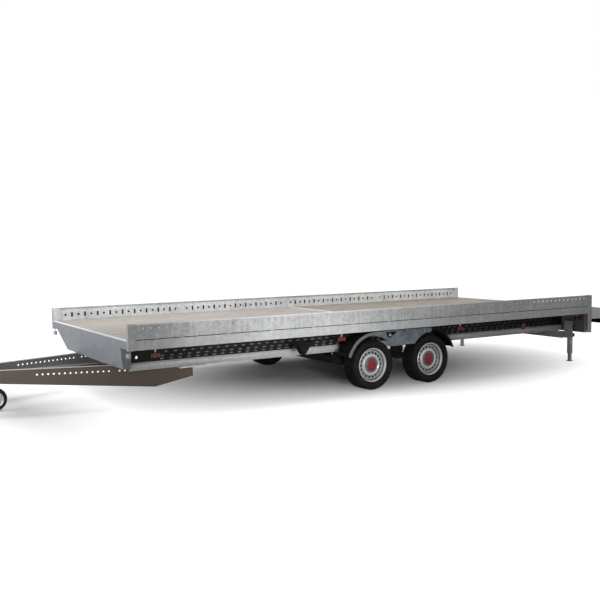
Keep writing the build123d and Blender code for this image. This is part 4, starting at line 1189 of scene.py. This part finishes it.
block_turn = add(treading, "FunctionNodeRotateRotation", {
    "Rotation": add(treading, "FunctionNodeEulerToRotation", {0: round_turn}).outputs[0],
    "Rotate By": add(treading, "FunctionNodeEulerToRotation", {0: slant_turn}).outputs[0]},
    rotation_space="LOCAL").outputs[0]
blocks = add(treading, "GeometryNodeInstanceOnPoints",
             {"Points": spots, "Instance": cube, "Rotation": block_turn})
real = add(treading, "GeometryNodeRealizeInstances", {0: blocks.outputs[0]})
painted = add(treading, "GeometryNodeSetMaterial", {"Geometry": real.outputs[0], "Material": given["Finish"]})
treading.links.new(painted.outputs[0], wanted["Tread"])
print("tree:", treading.name)

# %% Tyre
tyre_rubber = coated_finish("tyre rubber", colour=(0.008, 0.008, 0.008), smooth=0.65, rough=0.8,
                            scale=600.0, bare=(0.03, 0.03, 0.03), worn=0.1, dirty=0.06, specular=0.12)
wheel_sides = 96
middle_y = 1.062
tread_mesh = grow(bpy.data.meshes.new("tread base"), treading, Finish=tyre_rubber)
carcass = [(0.1785, 0.076), (0.186, 0.081), (0.190, 0.086), (0.1905, 0.0885), (0.1935, 0.0885),
           (0.194, 0.0875), (0.203, 0.0925), (0.214, 0.0963), (0.224, 0.098), (0.2245, 0.0972),
           (0.2255, 0.0972), (0.226, 0.0978), (0.236, 0.0962), (0.246, 0.0915), (0.2525, 0.085),
           (0.2552, 0.080), (0.2558, 0.072)]
lug = [(0.2475, 0.0905), (0.2553, 0.0795), (0.2605, 0.076), (0.2585, 0.086), (0.2505, 0.0925)]
lug_half = 0.0035


def tyre_form(side):
    """Carcass, tread and shoulder lugs about the origin, with the outer side towards side."""
    shape = bmesh.new()
    lathe(shape, carcass + [(r, -y) for r, y in carcass[::-1]], (0, 0, 0), (0, side, 0), wheel_sides, True)
    shape.from_mesh(tread_mesh)
    for k in range(wheel_sides):
        turn = Matrix.Rotation(2 * pi * k / wheel_sides, 4, "Y")
        for shoulder_side in (1, -1):
            bridge(shape, [[turn @ Vector((r, shoulder_side * y, t)) for r, y in lug]
                           for t in (-lug_half, lug_half)])
    return shape


def placed(shape, s, side):
    """Moves a wheel's form from the origin to its axle."""
    shape.transform(Matrix.Translation((station(s), side * middle_y, wheel_radius)))
    return shape


road_wheels = [(f"{end}_{name}", s, side) for end, s in zip(("front", "rear"), axle_stations)
               for name, side in (("left", 1), ("right", -1))]
for wheel, s, side in road_wheels:
    node = wheel + "_tyre"
    finish(placed(tyre_form(side), s, side), node + "_treaded", tyre_rubber, [node], smooth=25)
print("tyre:", made[-1])

# %% Finishes of the steel wheel
wheel_silver = coated_finish("silver wheel paint", colour=(0.30, 0.31, 0.31), smooth=0.3, rough=0.45,
                             scale=700.0, bare=(0.3, 0.3, 0.3), worn=0.1, dirty=0.08, metallic=0.3,
                             coat=0.1)
groove_grey = coated_finish("shaded wheel groove", colour=(0.06, 0.062, 0.062), smooth=0.4, rough=0.5,
                            scale=300.0, bare=(0.2, 0.2, 0.2), worn=0.1, dirty=0.05)
cap_grey = coated_finish("grey cap ring", colour=(0.13, 0.15, 0.145), smooth=0.35, rough=0.45, scale=300.0,
                         bare=(0.3, 0.3, 0.3), worn=0.1, dirty=0.05)
cap_red = coated_finish("red hub cap", colour=(0.21, 0.014, 0.032), smooth=0.3, rough=0.4, scale=300.0,
                        bare=(0.4, 0.1, 0.1), worn=0.1, dirty=0.05, coat=0.15)
print("finishes:", wheel_silver.name, groove_grey.name, cap_grey.name, cap_red.name)

# %% Disc with round vents, seat, nave, lip and barrel
vent_count = 18
vent_circle = 0.1315
vent_size = 0.0275
disc_y = 0.0455
disc_sheet = 0.004
disc_out, disc_in = 0.1535, 0.111
lip_faces = [(0.1665, 0.0700), (0.1680, 0.0790), (0.172, 0.0840), (0.176, 0.0842), (0.1787, 0.0815),
             (0.1775, 0.0755)]
barrel_faces = [(0.172, 0.062), (0.157, 0.050), (0.158, -0.034), (0.1705, -0.045), (0.1715, -0.060),
                (0.1785, -0.0755), (0.176, -0.078), (0.168, -0.070), (0.165, -0.045), (0.1525, -0.030),
                (0.1515, 0.040), (0.1530, 0.055), (0.1560, 0.0600), (0.1625, 0.0625)]
seat_faces = [(0.1510, 0.0470), (0.1495, 0.0505), (0.1455, 0.0505), (0.1430, 0.0470), (0.1430, 0.0440),
              (0.1510, 0.0440)]
nave_faces = [(0.112, 0.0475), (0.1085, 0.051), (0.1055, 0.0560), (0.100, 0.0590), (0.092, 0.0590),
              (0.087, 0.0555), (0.085, 0.046), (0.060, 0.044), (0.060, 0.038), (0.090, 0.038),
              (0.094, 0.0535), (0.0995, 0.0535), (0.1035, 0.049), (0.107, 0.0435), (0.112, 0.0435)]


def circle_points(radius, count):
    """Points evenly round a circle."""
    turns = [2 * pi * k / count for k in range(count)]
    return [(radius * cos(a), radius * sin(a)) for a in turns]


def rim_paint(middle, side):
    """Which paint a face of the wheel takes: 0 silver inside, 1 bright outside as painted highlight, 2 dark
    in the groove by the lip as painted shade.
    """
    if side * middle.y < 0.048:
        return 0
    return 2 if 0.151 < sqrt(middle.x ** 2 + middle.z ** 2) < 0.1625 else 1


def rim_form(side):
    """Wheel about the origin: turned lip with barrel, seat and nave, and the disc with its vents."""
    shape = bmesh.new()
    for faces in (lip_faces + barrel_faces, seat_faces, nave_faces):
        lathe(shape, faces, (0, 0, 0), (0, side, 0), wheel_sides, True)
    to_wheel = Matrix(((1, 0, 0, 0), (0, 0, side, side * disc_y - disc_sheet / 2), (0, -side, 0, 0),
                       (0, 0, 0, 1)))
    perforated(shape, [circle_points(disc_out, 72), circle_points(disc_in, 72)],
               circle_points(vent_circle, vent_count), [], to_wheel, Thickness=disc_sheet,
               Round_size=vent_size, Finish=wheel_silver)
    for face in shape.faces:
        face.material_index = rim_paint(face.calc_center_median(), side)
    return shape


print("disc with", vent_count, "vents, each", round(1000 * vent_size, 1), "mm across")

# %% Hub, plain cap and its grey ring
ring_profile = [(0.0, 0.040), (0.084, 0.040), (0.0855, 0.050), (0.082, 0.0565), (0.076, 0.0605),
                (0.0665, 0.0605), (0.0645, 0.058), (0.0, 0.058)]
dome_profile = [(0.0, 0.0585), (0.0635, 0.0585), (0.0638, 0.0615), (0.060, 0.0655), (0.045, 0.0690),
                (0.022, 0.0710), (0.0, 0.0718)]
vent_shade_profile = [(0.062, 0.018), (0.1505, 0.018), (0.1505, 0.022), (0.062, 0.022)]
hub_profile = [(0.0, -0.1218), (0.055, -0.1218), (0.0585, -0.118), (0.0585, -0.040), (0.0598, -0.034),
               (0.0598, 0.0), (0.088, 0.022), (0.088, 0.0362), (0.0, 0.0362)]


def turned(side, profile, sides=72):
    """A solid turned form about the origin, with the outer side towards side."""
    shape = bmesh.new()
    lathe(shape, profile, (0, 0, 0), (0, side, 0), sides)
    return shape


for wheel, s, side in road_wheels:
    node = wheel + "_rim"
    wheel_paints = [wheel_silver, bright_silver_and_highlight, groove_grey]
    finish(placed(rim_form(side), s, side), node + "_vented", wheel_paints, [node], smooth=30)
    finish(placed(turned(side, ring_profile), s, side), node + "_cap_ring", cap_grey, [node], smooth=35)
    finish(placed(turned(side, dome_profile), s, side), node + "_cap", cap_red, [node], smooth=50)
    hub_shape = turned(side, hub_profile, 48)
    # a black disc behind the vents, painted shade that keeps them dark
    lathe(hub_shape, vent_shade_profile, (0, 0, 0), (0, side, 0), 48, True)
    finish(placed(hub_shape, s, side), node + "_hub", black_coat, [node], smooth=35)
print("rim:", made[-4:])

# %% [markdown]
# ## Mudguards and wheel plates
# A moulded guard runs over both wheels of a side: a rounded section with turned-in edges follows a path made
# of two quarter rounds and a straight top. Its front edge is a paler grey. A galvanised plate hangs between
# the wheels, cut round both tyres; its outer face is darker zinc as painted shade, and its inner face takes
# near black as painted shade.

# %% Path over the wheels
guard_r = 0.345
guard_low = radians(19)
arc_steps = 24
front_s, rear_s = axle_stations


def guard_arc(s, low, high, ahead):
    """Points (station, z) of a quarter round over a wheel, each with its outward direction."""
    path = []
    for k in range(arc_steps + 1):
        a = low + (high - low) * k / arc_steps
        outward = (-ahead * cos(a), sin(a))
        path.append(((s + guard_r * outward[0], wheel_radius + guard_r * outward[1]), outward))
    return path


def swept(shape, section, path):
    """Sweeps a section of (y, outward) points along a path over the wheels."""
    rings = []
    for (s, z), (ds, dz) in path:
        rings.append([(station(s + ds * out), y, z + dz * out) for y, out in section])
    bridge(shape, rings)


front_arc = guard_arc(front_s, guard_low, pi / 2, 1)
flat_top = [((front_s + (rear_s - front_s) * k / 8, wheel_radius + guard_r), (0, 1)) for k in range(1, 8)]
rear_arc = guard_arc(rear_s, pi / 2, guard_low, -1)
print("path of", len(front_arc + flat_top + rear_arc), "points")

# %% Guards
guard_plastic = coated_finish("moulded guard plastic", colour=(0.006, 0.006, 0.0065), smooth=0.4,
                              rough=0.55, scale=260.0, bare=(0.04, 0.04, 0.04), worn=0.3, dirty=0.06,
                              specular=0.1)
guard_edge = coated_finish("scuffed guard edge", colour=(0.13, 0.14, 0.15), smooth=0.4, rough=0.5,
                           scale=260.0, bare=(0.3, 0.3, 0.3), worn=0.3, dirty=0.1)
guard_sheet = 0.003
guard_section = folded([(0.950, -0.016), (0.950, 0.001), (0.958, 0.003), (1.000, 0.0045), (1.057, 0.005),
                        (1.115, 0.0045), (1.156, 0.003), (1.1635, 0.000), (1.1635, -0.022)], -guard_sheet)
edge_section = [(1.1638, -0.030), (1.1672, -0.030), (1.1672, 0.001), (1.1638, 0.003)]
guard_hangers = (3.040, 3.530)
for node, right in (("left_mudguard", False), ("right_mudguard", True)):
    moulded, lip, hanger = bmesh.new(), bmesh.new(), bmesh.new()
    swept(moulded, guard_section, front_arc + flat_top + rear_arc)
    swept(lip, edge_section, front_arc)
    for s in guard_hangers:
        angle_iron = [(s + 0.014, 0.612), (s - 0.014, 0.612), (s - 0.014, 0.632)]
        across(hanger, folded(angle_iron, -guard_sheet), 1.000, 1.100)
    for shape in (moulded, lip, hanger):
        if right:
            to_right(shape)
    finish(moulded, node + "_moulded", guard_plastic, [node], smooth=30)
    finish(lip, node + "_edge", guard_edge, [node], smooth=30)
    finish(hanger, node + "_hangers", zinc_chassis_and_shade, [node], bevel=0.0008)
print("guards:", made[-6:])

# %% Wheel plates
# darker zinc for the wheel plates, as painted shade under the edge beam
zinc_shaded = zinc_finish("dull galvanised plate", dark=(0.07, 0.08, 0.092), light=(0.20, 0.225, 0.25),
                          crystal=0.03, runs=0.5, metallic=0.2, dirty=0.1, clouds=1.2)
plate_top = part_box("wheel_plates")[1].z
plate_in = 1.164
plate_sheet = 0.003
plate_foot = 0.452
cut = 0.3045


def plate_arc(s, start, end, count=18):
    """Cut round a tyre, from one angle to another."""
    turns = [start + (end - start) * k / count for k in range(count + 1)]
    return [(s + cut * cos(a), wheel_radius + cut * sin(a)) for a in turns]


foot_rise = plate_foot - wheel_radius
foot_turn = atan(foot_rise / sqrt(cut ** 2 - foot_rise ** 2))
plate_outline = (plate_arc(front_s, pi / 2, foot_turn) + plate_arc(rear_s, pi - foot_turn, pi / 2)
                 + [(rear_s, plate_top), (front_s, plate_top)])
opening = [(2.865, 0.600), (3.010, 0.600), (2.985, 0.572), (2.920, 0.535), (2.890, 0.548)]
shape = bmesh.new()
perforated(shape, [plate_outline, opening], [(3.12, 0.59), (3.30, 0.59)], [], on_side(plate_in),
           Thickness=plate_sheet, Round_size=0.014, Finish=zinc_shaded)
shape.normal_update()
# faces turned inwards take near black as painted shade
for face in shape.faces:
    face.material_index = int(face.normal.y < -0.9)
mirrored(shape)
finish(shape, "wheel_plates_cut", [zinc_shaded, shade_black], ["wheel_plates"], smooth=20)
plate_bolt = (0.010, 0.004, 0.014, 6)
guard_nut = (0.018, 0.01, 0.03, 6)
for side in (1, -1):
    bolt_up([(station(s), side * (plate_in + plate_sheet), 0.592) for s in (2.80, 3.40)], (0, side, 0),
            plate_bolt)
    bolt_up([(station(2.925), side * 1.160, 0.567)], (0, side, 0), guard_nut)
print("plates:", made[-1])

# %% [markdown]
# ## Lamps, reflectors and chocks
# A lamp is a black base with a ribbed lens on it. The lens is a block with well rounded edges, hung on a
# small bracket under the edge beam. Its plastic is glossy, with fine upright ribs inside, and glows a very
# little as painted light, though the lamps are off; the amber is dark as painted shade. The front position
# lamps are clear, on pale bases. A chock hangs under each edge beam, and a flat cheek closes its open side.

# %% Finishes of the lenses


def lens_finish(name, colour, rib_scale=41.27):
    """Moulded lens: glossy plastic with fine upright ribs inside, and a faint glow as painted light."""
    material, tree, shader = start_material(name, Roughness=0.2, Coat_Weight=0.35, Coat_Roughness=0.05,
                                            Emission_Color=(*colour, 1), Emission_Strength=0.02)
    wave = add(tree, "ShaderNodeTexWave",
               {"Vector": stretched(tree), "Scale": rib_scale, "Distortion": 0.0},
               wave_type="BANDS", bands_direction="X")
    deep = (*(c * 0.55 for c in colour), 1)
    tree.links.new(mixed(tree, wave.outputs["Fac"], deep, (*colour, 1)), shader["Base Color"])
    raise_surface(tree, shader, wave.outputs["Fac"], 0.4, 0.001)
    return material


# the amber is darkened as painted shade
amber_lens_painted_shade = lens_finish("amber lens", (0.15, 0.026, 0.006))
red_lens = lens_finish("red lens", (0.22, 0.012, 0.016))
clear_lens = lens_finish("clear lens", (0.75, 0.76, 0.76))
print("lenses:", amber_lens_painted_shade.name, red_lens.name, clear_lens.name)

# %% Side markers
marker_stations = (0.290, 2.340, 3.990, 6.005)
lens_half, base_half, hanger_half = 0.048, 0.052, 0.008
marker_foot, marker_top, hood_top = 0.539, 0.5795, 0.584
lens, base, hanger = bmesh.new(), bmesh.new(), bmesh.new()
for s in marker_stations:
    block(lens, s - lens_half, s + lens_half, 1.094, 1.110, marker_foot, marker_top)
    block(base, s - base_half, s + base_half, 1.085, 1.094, 0.536, hood_top)
    block(base, s - base_half, s + base_half, 1.094, 1.103, marker_top, hood_top)
    along(hanger, folded([(1.098, hood_top), (1.098, 0.625), (1.170, 0.625)], -0.003),
          s - hanger_half, s + hanger_half)
for shape in (lens, base, hanger):
    mirrored(shape)
finish(lens, "side_marker_lenses", amber_lens_painted_shade, ["side_marker_lamps"], bevel=0.005, steps=3)
finish(base, "side_marker_bases", guard_plastic, ["side_marker_lamps"], bevel=0.0015)
finish(hanger, "side_marker_hangers", zinc_plating, ["side_marker_lamps"], bevel=0.0008)
print("side markers:", made[-3:])

# %% Front position lamps
lens, base = bmesh.new(), bmesh.new()
block(lens, 0.005, 0.026, 1.122, 1.178, 0.558, 0.598)
block(base, 0.026, 0.033, 1.120, 1.180, 0.556, 0.600)
block(base, 0.026, 0.030, 1.165, 1.177, 0.600, 0.625)
for shape in (lens, base):
    mirrored(shape)
finish(lens, "front_position_lenses", clear_lens, ["front_position_lamps"], bevel=0.003, steps=3)
finish(base, "front_position_bases", wheel_silver, ["front_position_lamps"],
       bevel=0.0015)
print("position lamps:", made[-2:])

# %% Side reflectors
reflector_s = 5.010
reflector_z = 0.526
reflector_back = 1.106
disc_profile = [(0.0, 0.0), (0.0355, 0.0), (0.036, 0.002), (0.034, 0.0045), (0.0, 0.006)]
holder_profile = [(0.0, 0.0), (0.0395, 0.0), (0.040, 0.001), (0.040, 0.0035), (0.037, 0.005), (0.0, 0.005)]
lens, base = bmesh.new(), bmesh.new()
lathe(lens, disc_profile, (station(reflector_s), reflector_back + 0.0025, reflector_z), (0, 1, 0), 48)
lathe(base, holder_profile, (station(reflector_s), reflector_back, reflector_z), (0, 1, 0), 48)
block(base, reflector_s - 0.008, reflector_s + 0.008, 1.100, reflector_back, 0.500, 0.632)
for shape in (lens, base):
    mirrored(shape)
finish(lens, "side_reflector_discs", red_lens, ["side_reflectors"], smooth=40)
finish(base, "side_reflector_holders", guard_plastic, ["side_reflectors"], smooth=40)
print("reflectors:", made[-2:])

# %% Wheel chocks
dress("wheel_chocks", guard_plastic, 0.0015)
shape = bmesh.new()
across(shape, [(1.799, 0.558), (1.8925, 0.4275), (1.986, 0.558)], 1.0965, 1.0998)
mirrored(shape)
finish(shape, "wheel_chock_cheeks", guard_plastic, body="chassis", bevel=0.0008)
print("chocks:", made[-2:])

# %% Rear lamp clusters
lamp_low, lamp_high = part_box("tail_lamps")
lamp_back = front_x - lamp_low.x
lamp_front = front_x - lamp_high.x
lens_depth = 0.014
lens_margin = 0.004
base, red, amber, clear = bmesh.new(), bmesh.new(), bmesh.new(), bmesh.new()
block(base, lamp_front, lamp_back - lens_depth, 0.880, 1.120, lamp_low.z, lamp_high.z)
for shape, y0, y1 in ((red, 1.005, 1.116), (amber, 0.940, 1.003), (clear, 0.884, 0.938)):
    block(shape, lamp_back - lens_depth, lamp_back, y0, y1, lamp_low.z + lens_margin,
          lamp_high.z - lens_margin)
for shape in (base, red, amber, clear):
    mirrored(shape)
finish(base, "tail_lamp_bases", guard_plastic, ["tail_lamps"], bevel=0.003)
finish(red, "tail_lamp_red", red_lens, ["tail_lamps"], bevel=0.003, steps=3)
finish(amber, "tail_lamp_amber", amber_lens_painted_shade, ["tail_lamps"], bevel=0.003, steps=3)
finish(clear, "tail_lamp_clear", clear_lens, ["tail_lamps"], bevel=0.003, steps=3)
print("tail lamps:", made[-4:])

# %% [markdown]
# ## Rear legs
# Each leg is a square tube that slides in a clamped outer tube and is held by a knob. The CAD tubes are
# right as they are, so they only get soft edges; the knob is turned, and the bolts of its flange come from
# the bolt tree.

# %% Legs and knobs
leg_s = 6.035
leg_y = 0.960
dress("leg_tubes", zinc_beam, 0.003)
dress("left_leg", zinc_plating, 0.002)
dress("right_leg", zinc_plating, 0.002)
knob_profile = [(0.0, 0.0), (0.012, 0.0), (0.012, 0.012), (0.024, 0.016), (0.026, 0.024), (0.022, 0.032),
                (0.0, 0.034)]
shape = bmesh.new()
lathe(shape, knob_profile, (station(leg_s), leg_y + 0.025, 0.340), (0, 1, 0), 20)
mirrored(shape)
finish(shape, "leg_knobs", soft_rubber, body="chassis", smooth=40)
flange_s = leg_s - 0.041
for side in (1, -1):
    bolt_up([(station(flange_s), side * (leg_y + dy), z) for dy in (-0.045, 0.045)
             for z in (0.33, 0.37, 0.49)], backwards, flange_bolt)
print("legs:", made[-4:])

# %% [markdown]
# ## Bolts
# All bolts sit on the chassis, so those noted so far are made by the bolt tree as one plain mesh. Each place
# carries the direction that its bolt faces, as an attribute which the tree reads.

# %% Make the bolts
shape = bmesh.new()
for (head, height, washer, sides), places in bolt_lists.items():
    mesh = bpy.data.meshes.new("places")
    mesh.from_pydata([place for place, facing in places], [], [])
    directions = [value for place, facing in places for value in facing]
    mesh.attributes.new("facing", "FLOAT_VECTOR", "POINT").data.foreach_set("vector", directions)
    shape.from_mesh(grow(mesh, bolting, Head=head, Height=height, Washer=washer, Sides=sides,
                         Finish=zinc_plating))
finish(shape, "chassis_bolts", zinc_plating, body="chassis", smooth=20)
print("bolts:", sum(len(places) for places in bolt_lists.values()), "in", made[-1])

# %% [markdown]
# ## Studio
# The floor is a plain pale disc. Only for the camera, a white spread lies on it and grows with the distance
# from the wheels and the drawbar, so that the shadow stays dark there and fades into the background.

# %% Floor
floor_shape = bmesh.new()
bmesh.ops.create_circle(floor_shape, cap_ends=True, segments=96, radius=60)
floor_mesh = bpy.data.meshes.new("floor")
floor_shape.to_mesh(floor_mesh)
floor = bpy.data.objects.new("floor", floor_mesh)
bpy.context.scene.collection.objects.link(floor)
floor_paint, tree, shader = start_material("pale floor", Roughness=0.9, Specular_IOR_Level=0.0)
shader["Base Color"].default_value = (0.82, 0.82, 0.82, 1)
glow = add(tree, "ShaderNodeEmission", {"Color": (1, 1, 1, 1)})
place = add(tree, "ShaderNodeTexCoord")


def distance_from(x, y, long, wide):
    """Distance over the floor from a point, measured in the half lengths of an oval round it."""
    oval = add(tree, "ShaderNodeMapping", {"Vector": place.outputs["Object"],
                                           "Location": (-x / long, -y / wide, 0),
                                           "Scale": (1 / long, 1 / wide, 1)})
    return add(tree, "ShaderNodeVectorMath", {0: oval.outputs[0]}, operation="LENGTH").outputs["Value"]


most_white = 0.97
round_wheels = spread(tree, distance_from(-0.96, -0.39, 3.72, 3.02), 0.25, 0.985)
round_wheels = maths(tree, "MULTIPLY", maths(tree, "POWER", round_wheels, 1.5), most_white)
round_drawbar = spread(tree, distance_from(2.95, -0.30, 0.74, 2.60), 0.1, 1.38, 0.0, most_white)
white = maths(tree, "MINIMUM", round_wheels, round_drawbar)
camera_ray = add(tree, "ShaderNodeLightPath").outputs["Is Camera Ray"]
tree.links.new(maths(tree, "MULTIPLY", white, camera_ray), glow.inputs["Strength"])
total = add(tree, "ShaderNodeAddShader", {0: tree.nodes["Principled BSDF"].outputs[0], 1: glow.outputs[0]})
tree.links.new(total.outputs[0], tree.nodes["Material Output"].inputs["Surface"])
floor_mesh.materials.append(floor_paint)
print("floor is", len(floor_mesh.vertices), "points round")

# %% [markdown]
# ## Light
# The world is white where it is seen, in a reflection or behind the trailer, but lights the trailer softly.
# Five lamps shape it: a wide one over the deck, a narrow one that reaches the right rail's inner face, one
# ahead for the apron, and two small low ones beside the left rail's front and the drawbar.

# %% White world
soft_light = 0.22
world = bpy.data.worlds.new("studio")
bpy.context.scene.world = world
world.use_nodes = True
tree = world.node_tree
rays = add(tree, "ShaderNodeLightPath")
mirrored_rays = maths(tree, "MAXIMUM", rays.outputs["Is Glossy Ray"], rays.outputs["Is Transmission Ray"])
seen = maths(tree, "MAXIMUM", rays.outputs["Is Camera Ray"], mirrored_rays)
tree.nodes["Background"].inputs["Color"].default_value = (1, 1, 1, 1)
tree.links.new(spread(tree, seen, 0, 1, soft_light, 1.0), tree.nodes["Background"].inputs["Strength"])
print("world:", world.name)

# %% Lamps


def soft_lamp(name, place, target, width, depth, power, cone=180):
    """Rectangular lamp that shines from a place to a target and isn't seen itself."""
    lamp_data = bpy.data.lights.new(name, "AREA")
    lamp_data.shape = "RECTANGLE"
    lamp_data.size = width
    lamp_data.size_y = depth
    lamp_data.energy = power
    lamp_data.spread = radians(cone)
    lamp = bpy.data.objects.new(name, lamp_data)
    bpy.context.scene.collection.objects.link(lamp)
    lamp.location = place
    lamp.rotation_euler = (Vector(target) - Vector(place)).to_track_quat("-Z", "Y").to_euler()
    lamp.visible_camera = False


soft_lamp("over the deck", (0.8, 0.1, 4.0), (0.8, 0, 0), 6.0, 2.2, power=105)
soft_lamp("over the right rail", (-0.3, 0.7, 2.3), (-0.3, -1.2, 0.8), 8.1, 0.4, power=33, cone=70)
soft_lamp("near the left rail", (0.80, 3.2, 0.7), (0.05, 1.2, 0.75), 0.8, 0.5, power=14, cone=110)
soft_lamp("ahead", (7.0, -1.4, 2.2), (2.0, -0.8, 0.6), 3.0, 2.0, power=95)
soft_lamp("near the drawbar", (4.6, 3.0, 0.8), (3.4, 0.3, 0.4), 1.2, 0.8, power=5, cone=70)
bpy.context.scene.view_settings.view_transform = "Standard"

# %% [markdown]
# ## The pieces made and their faces are counted.

# %% Count the pieces
print(len(made), "pieces,", sum(count for name, count in made), "faces")
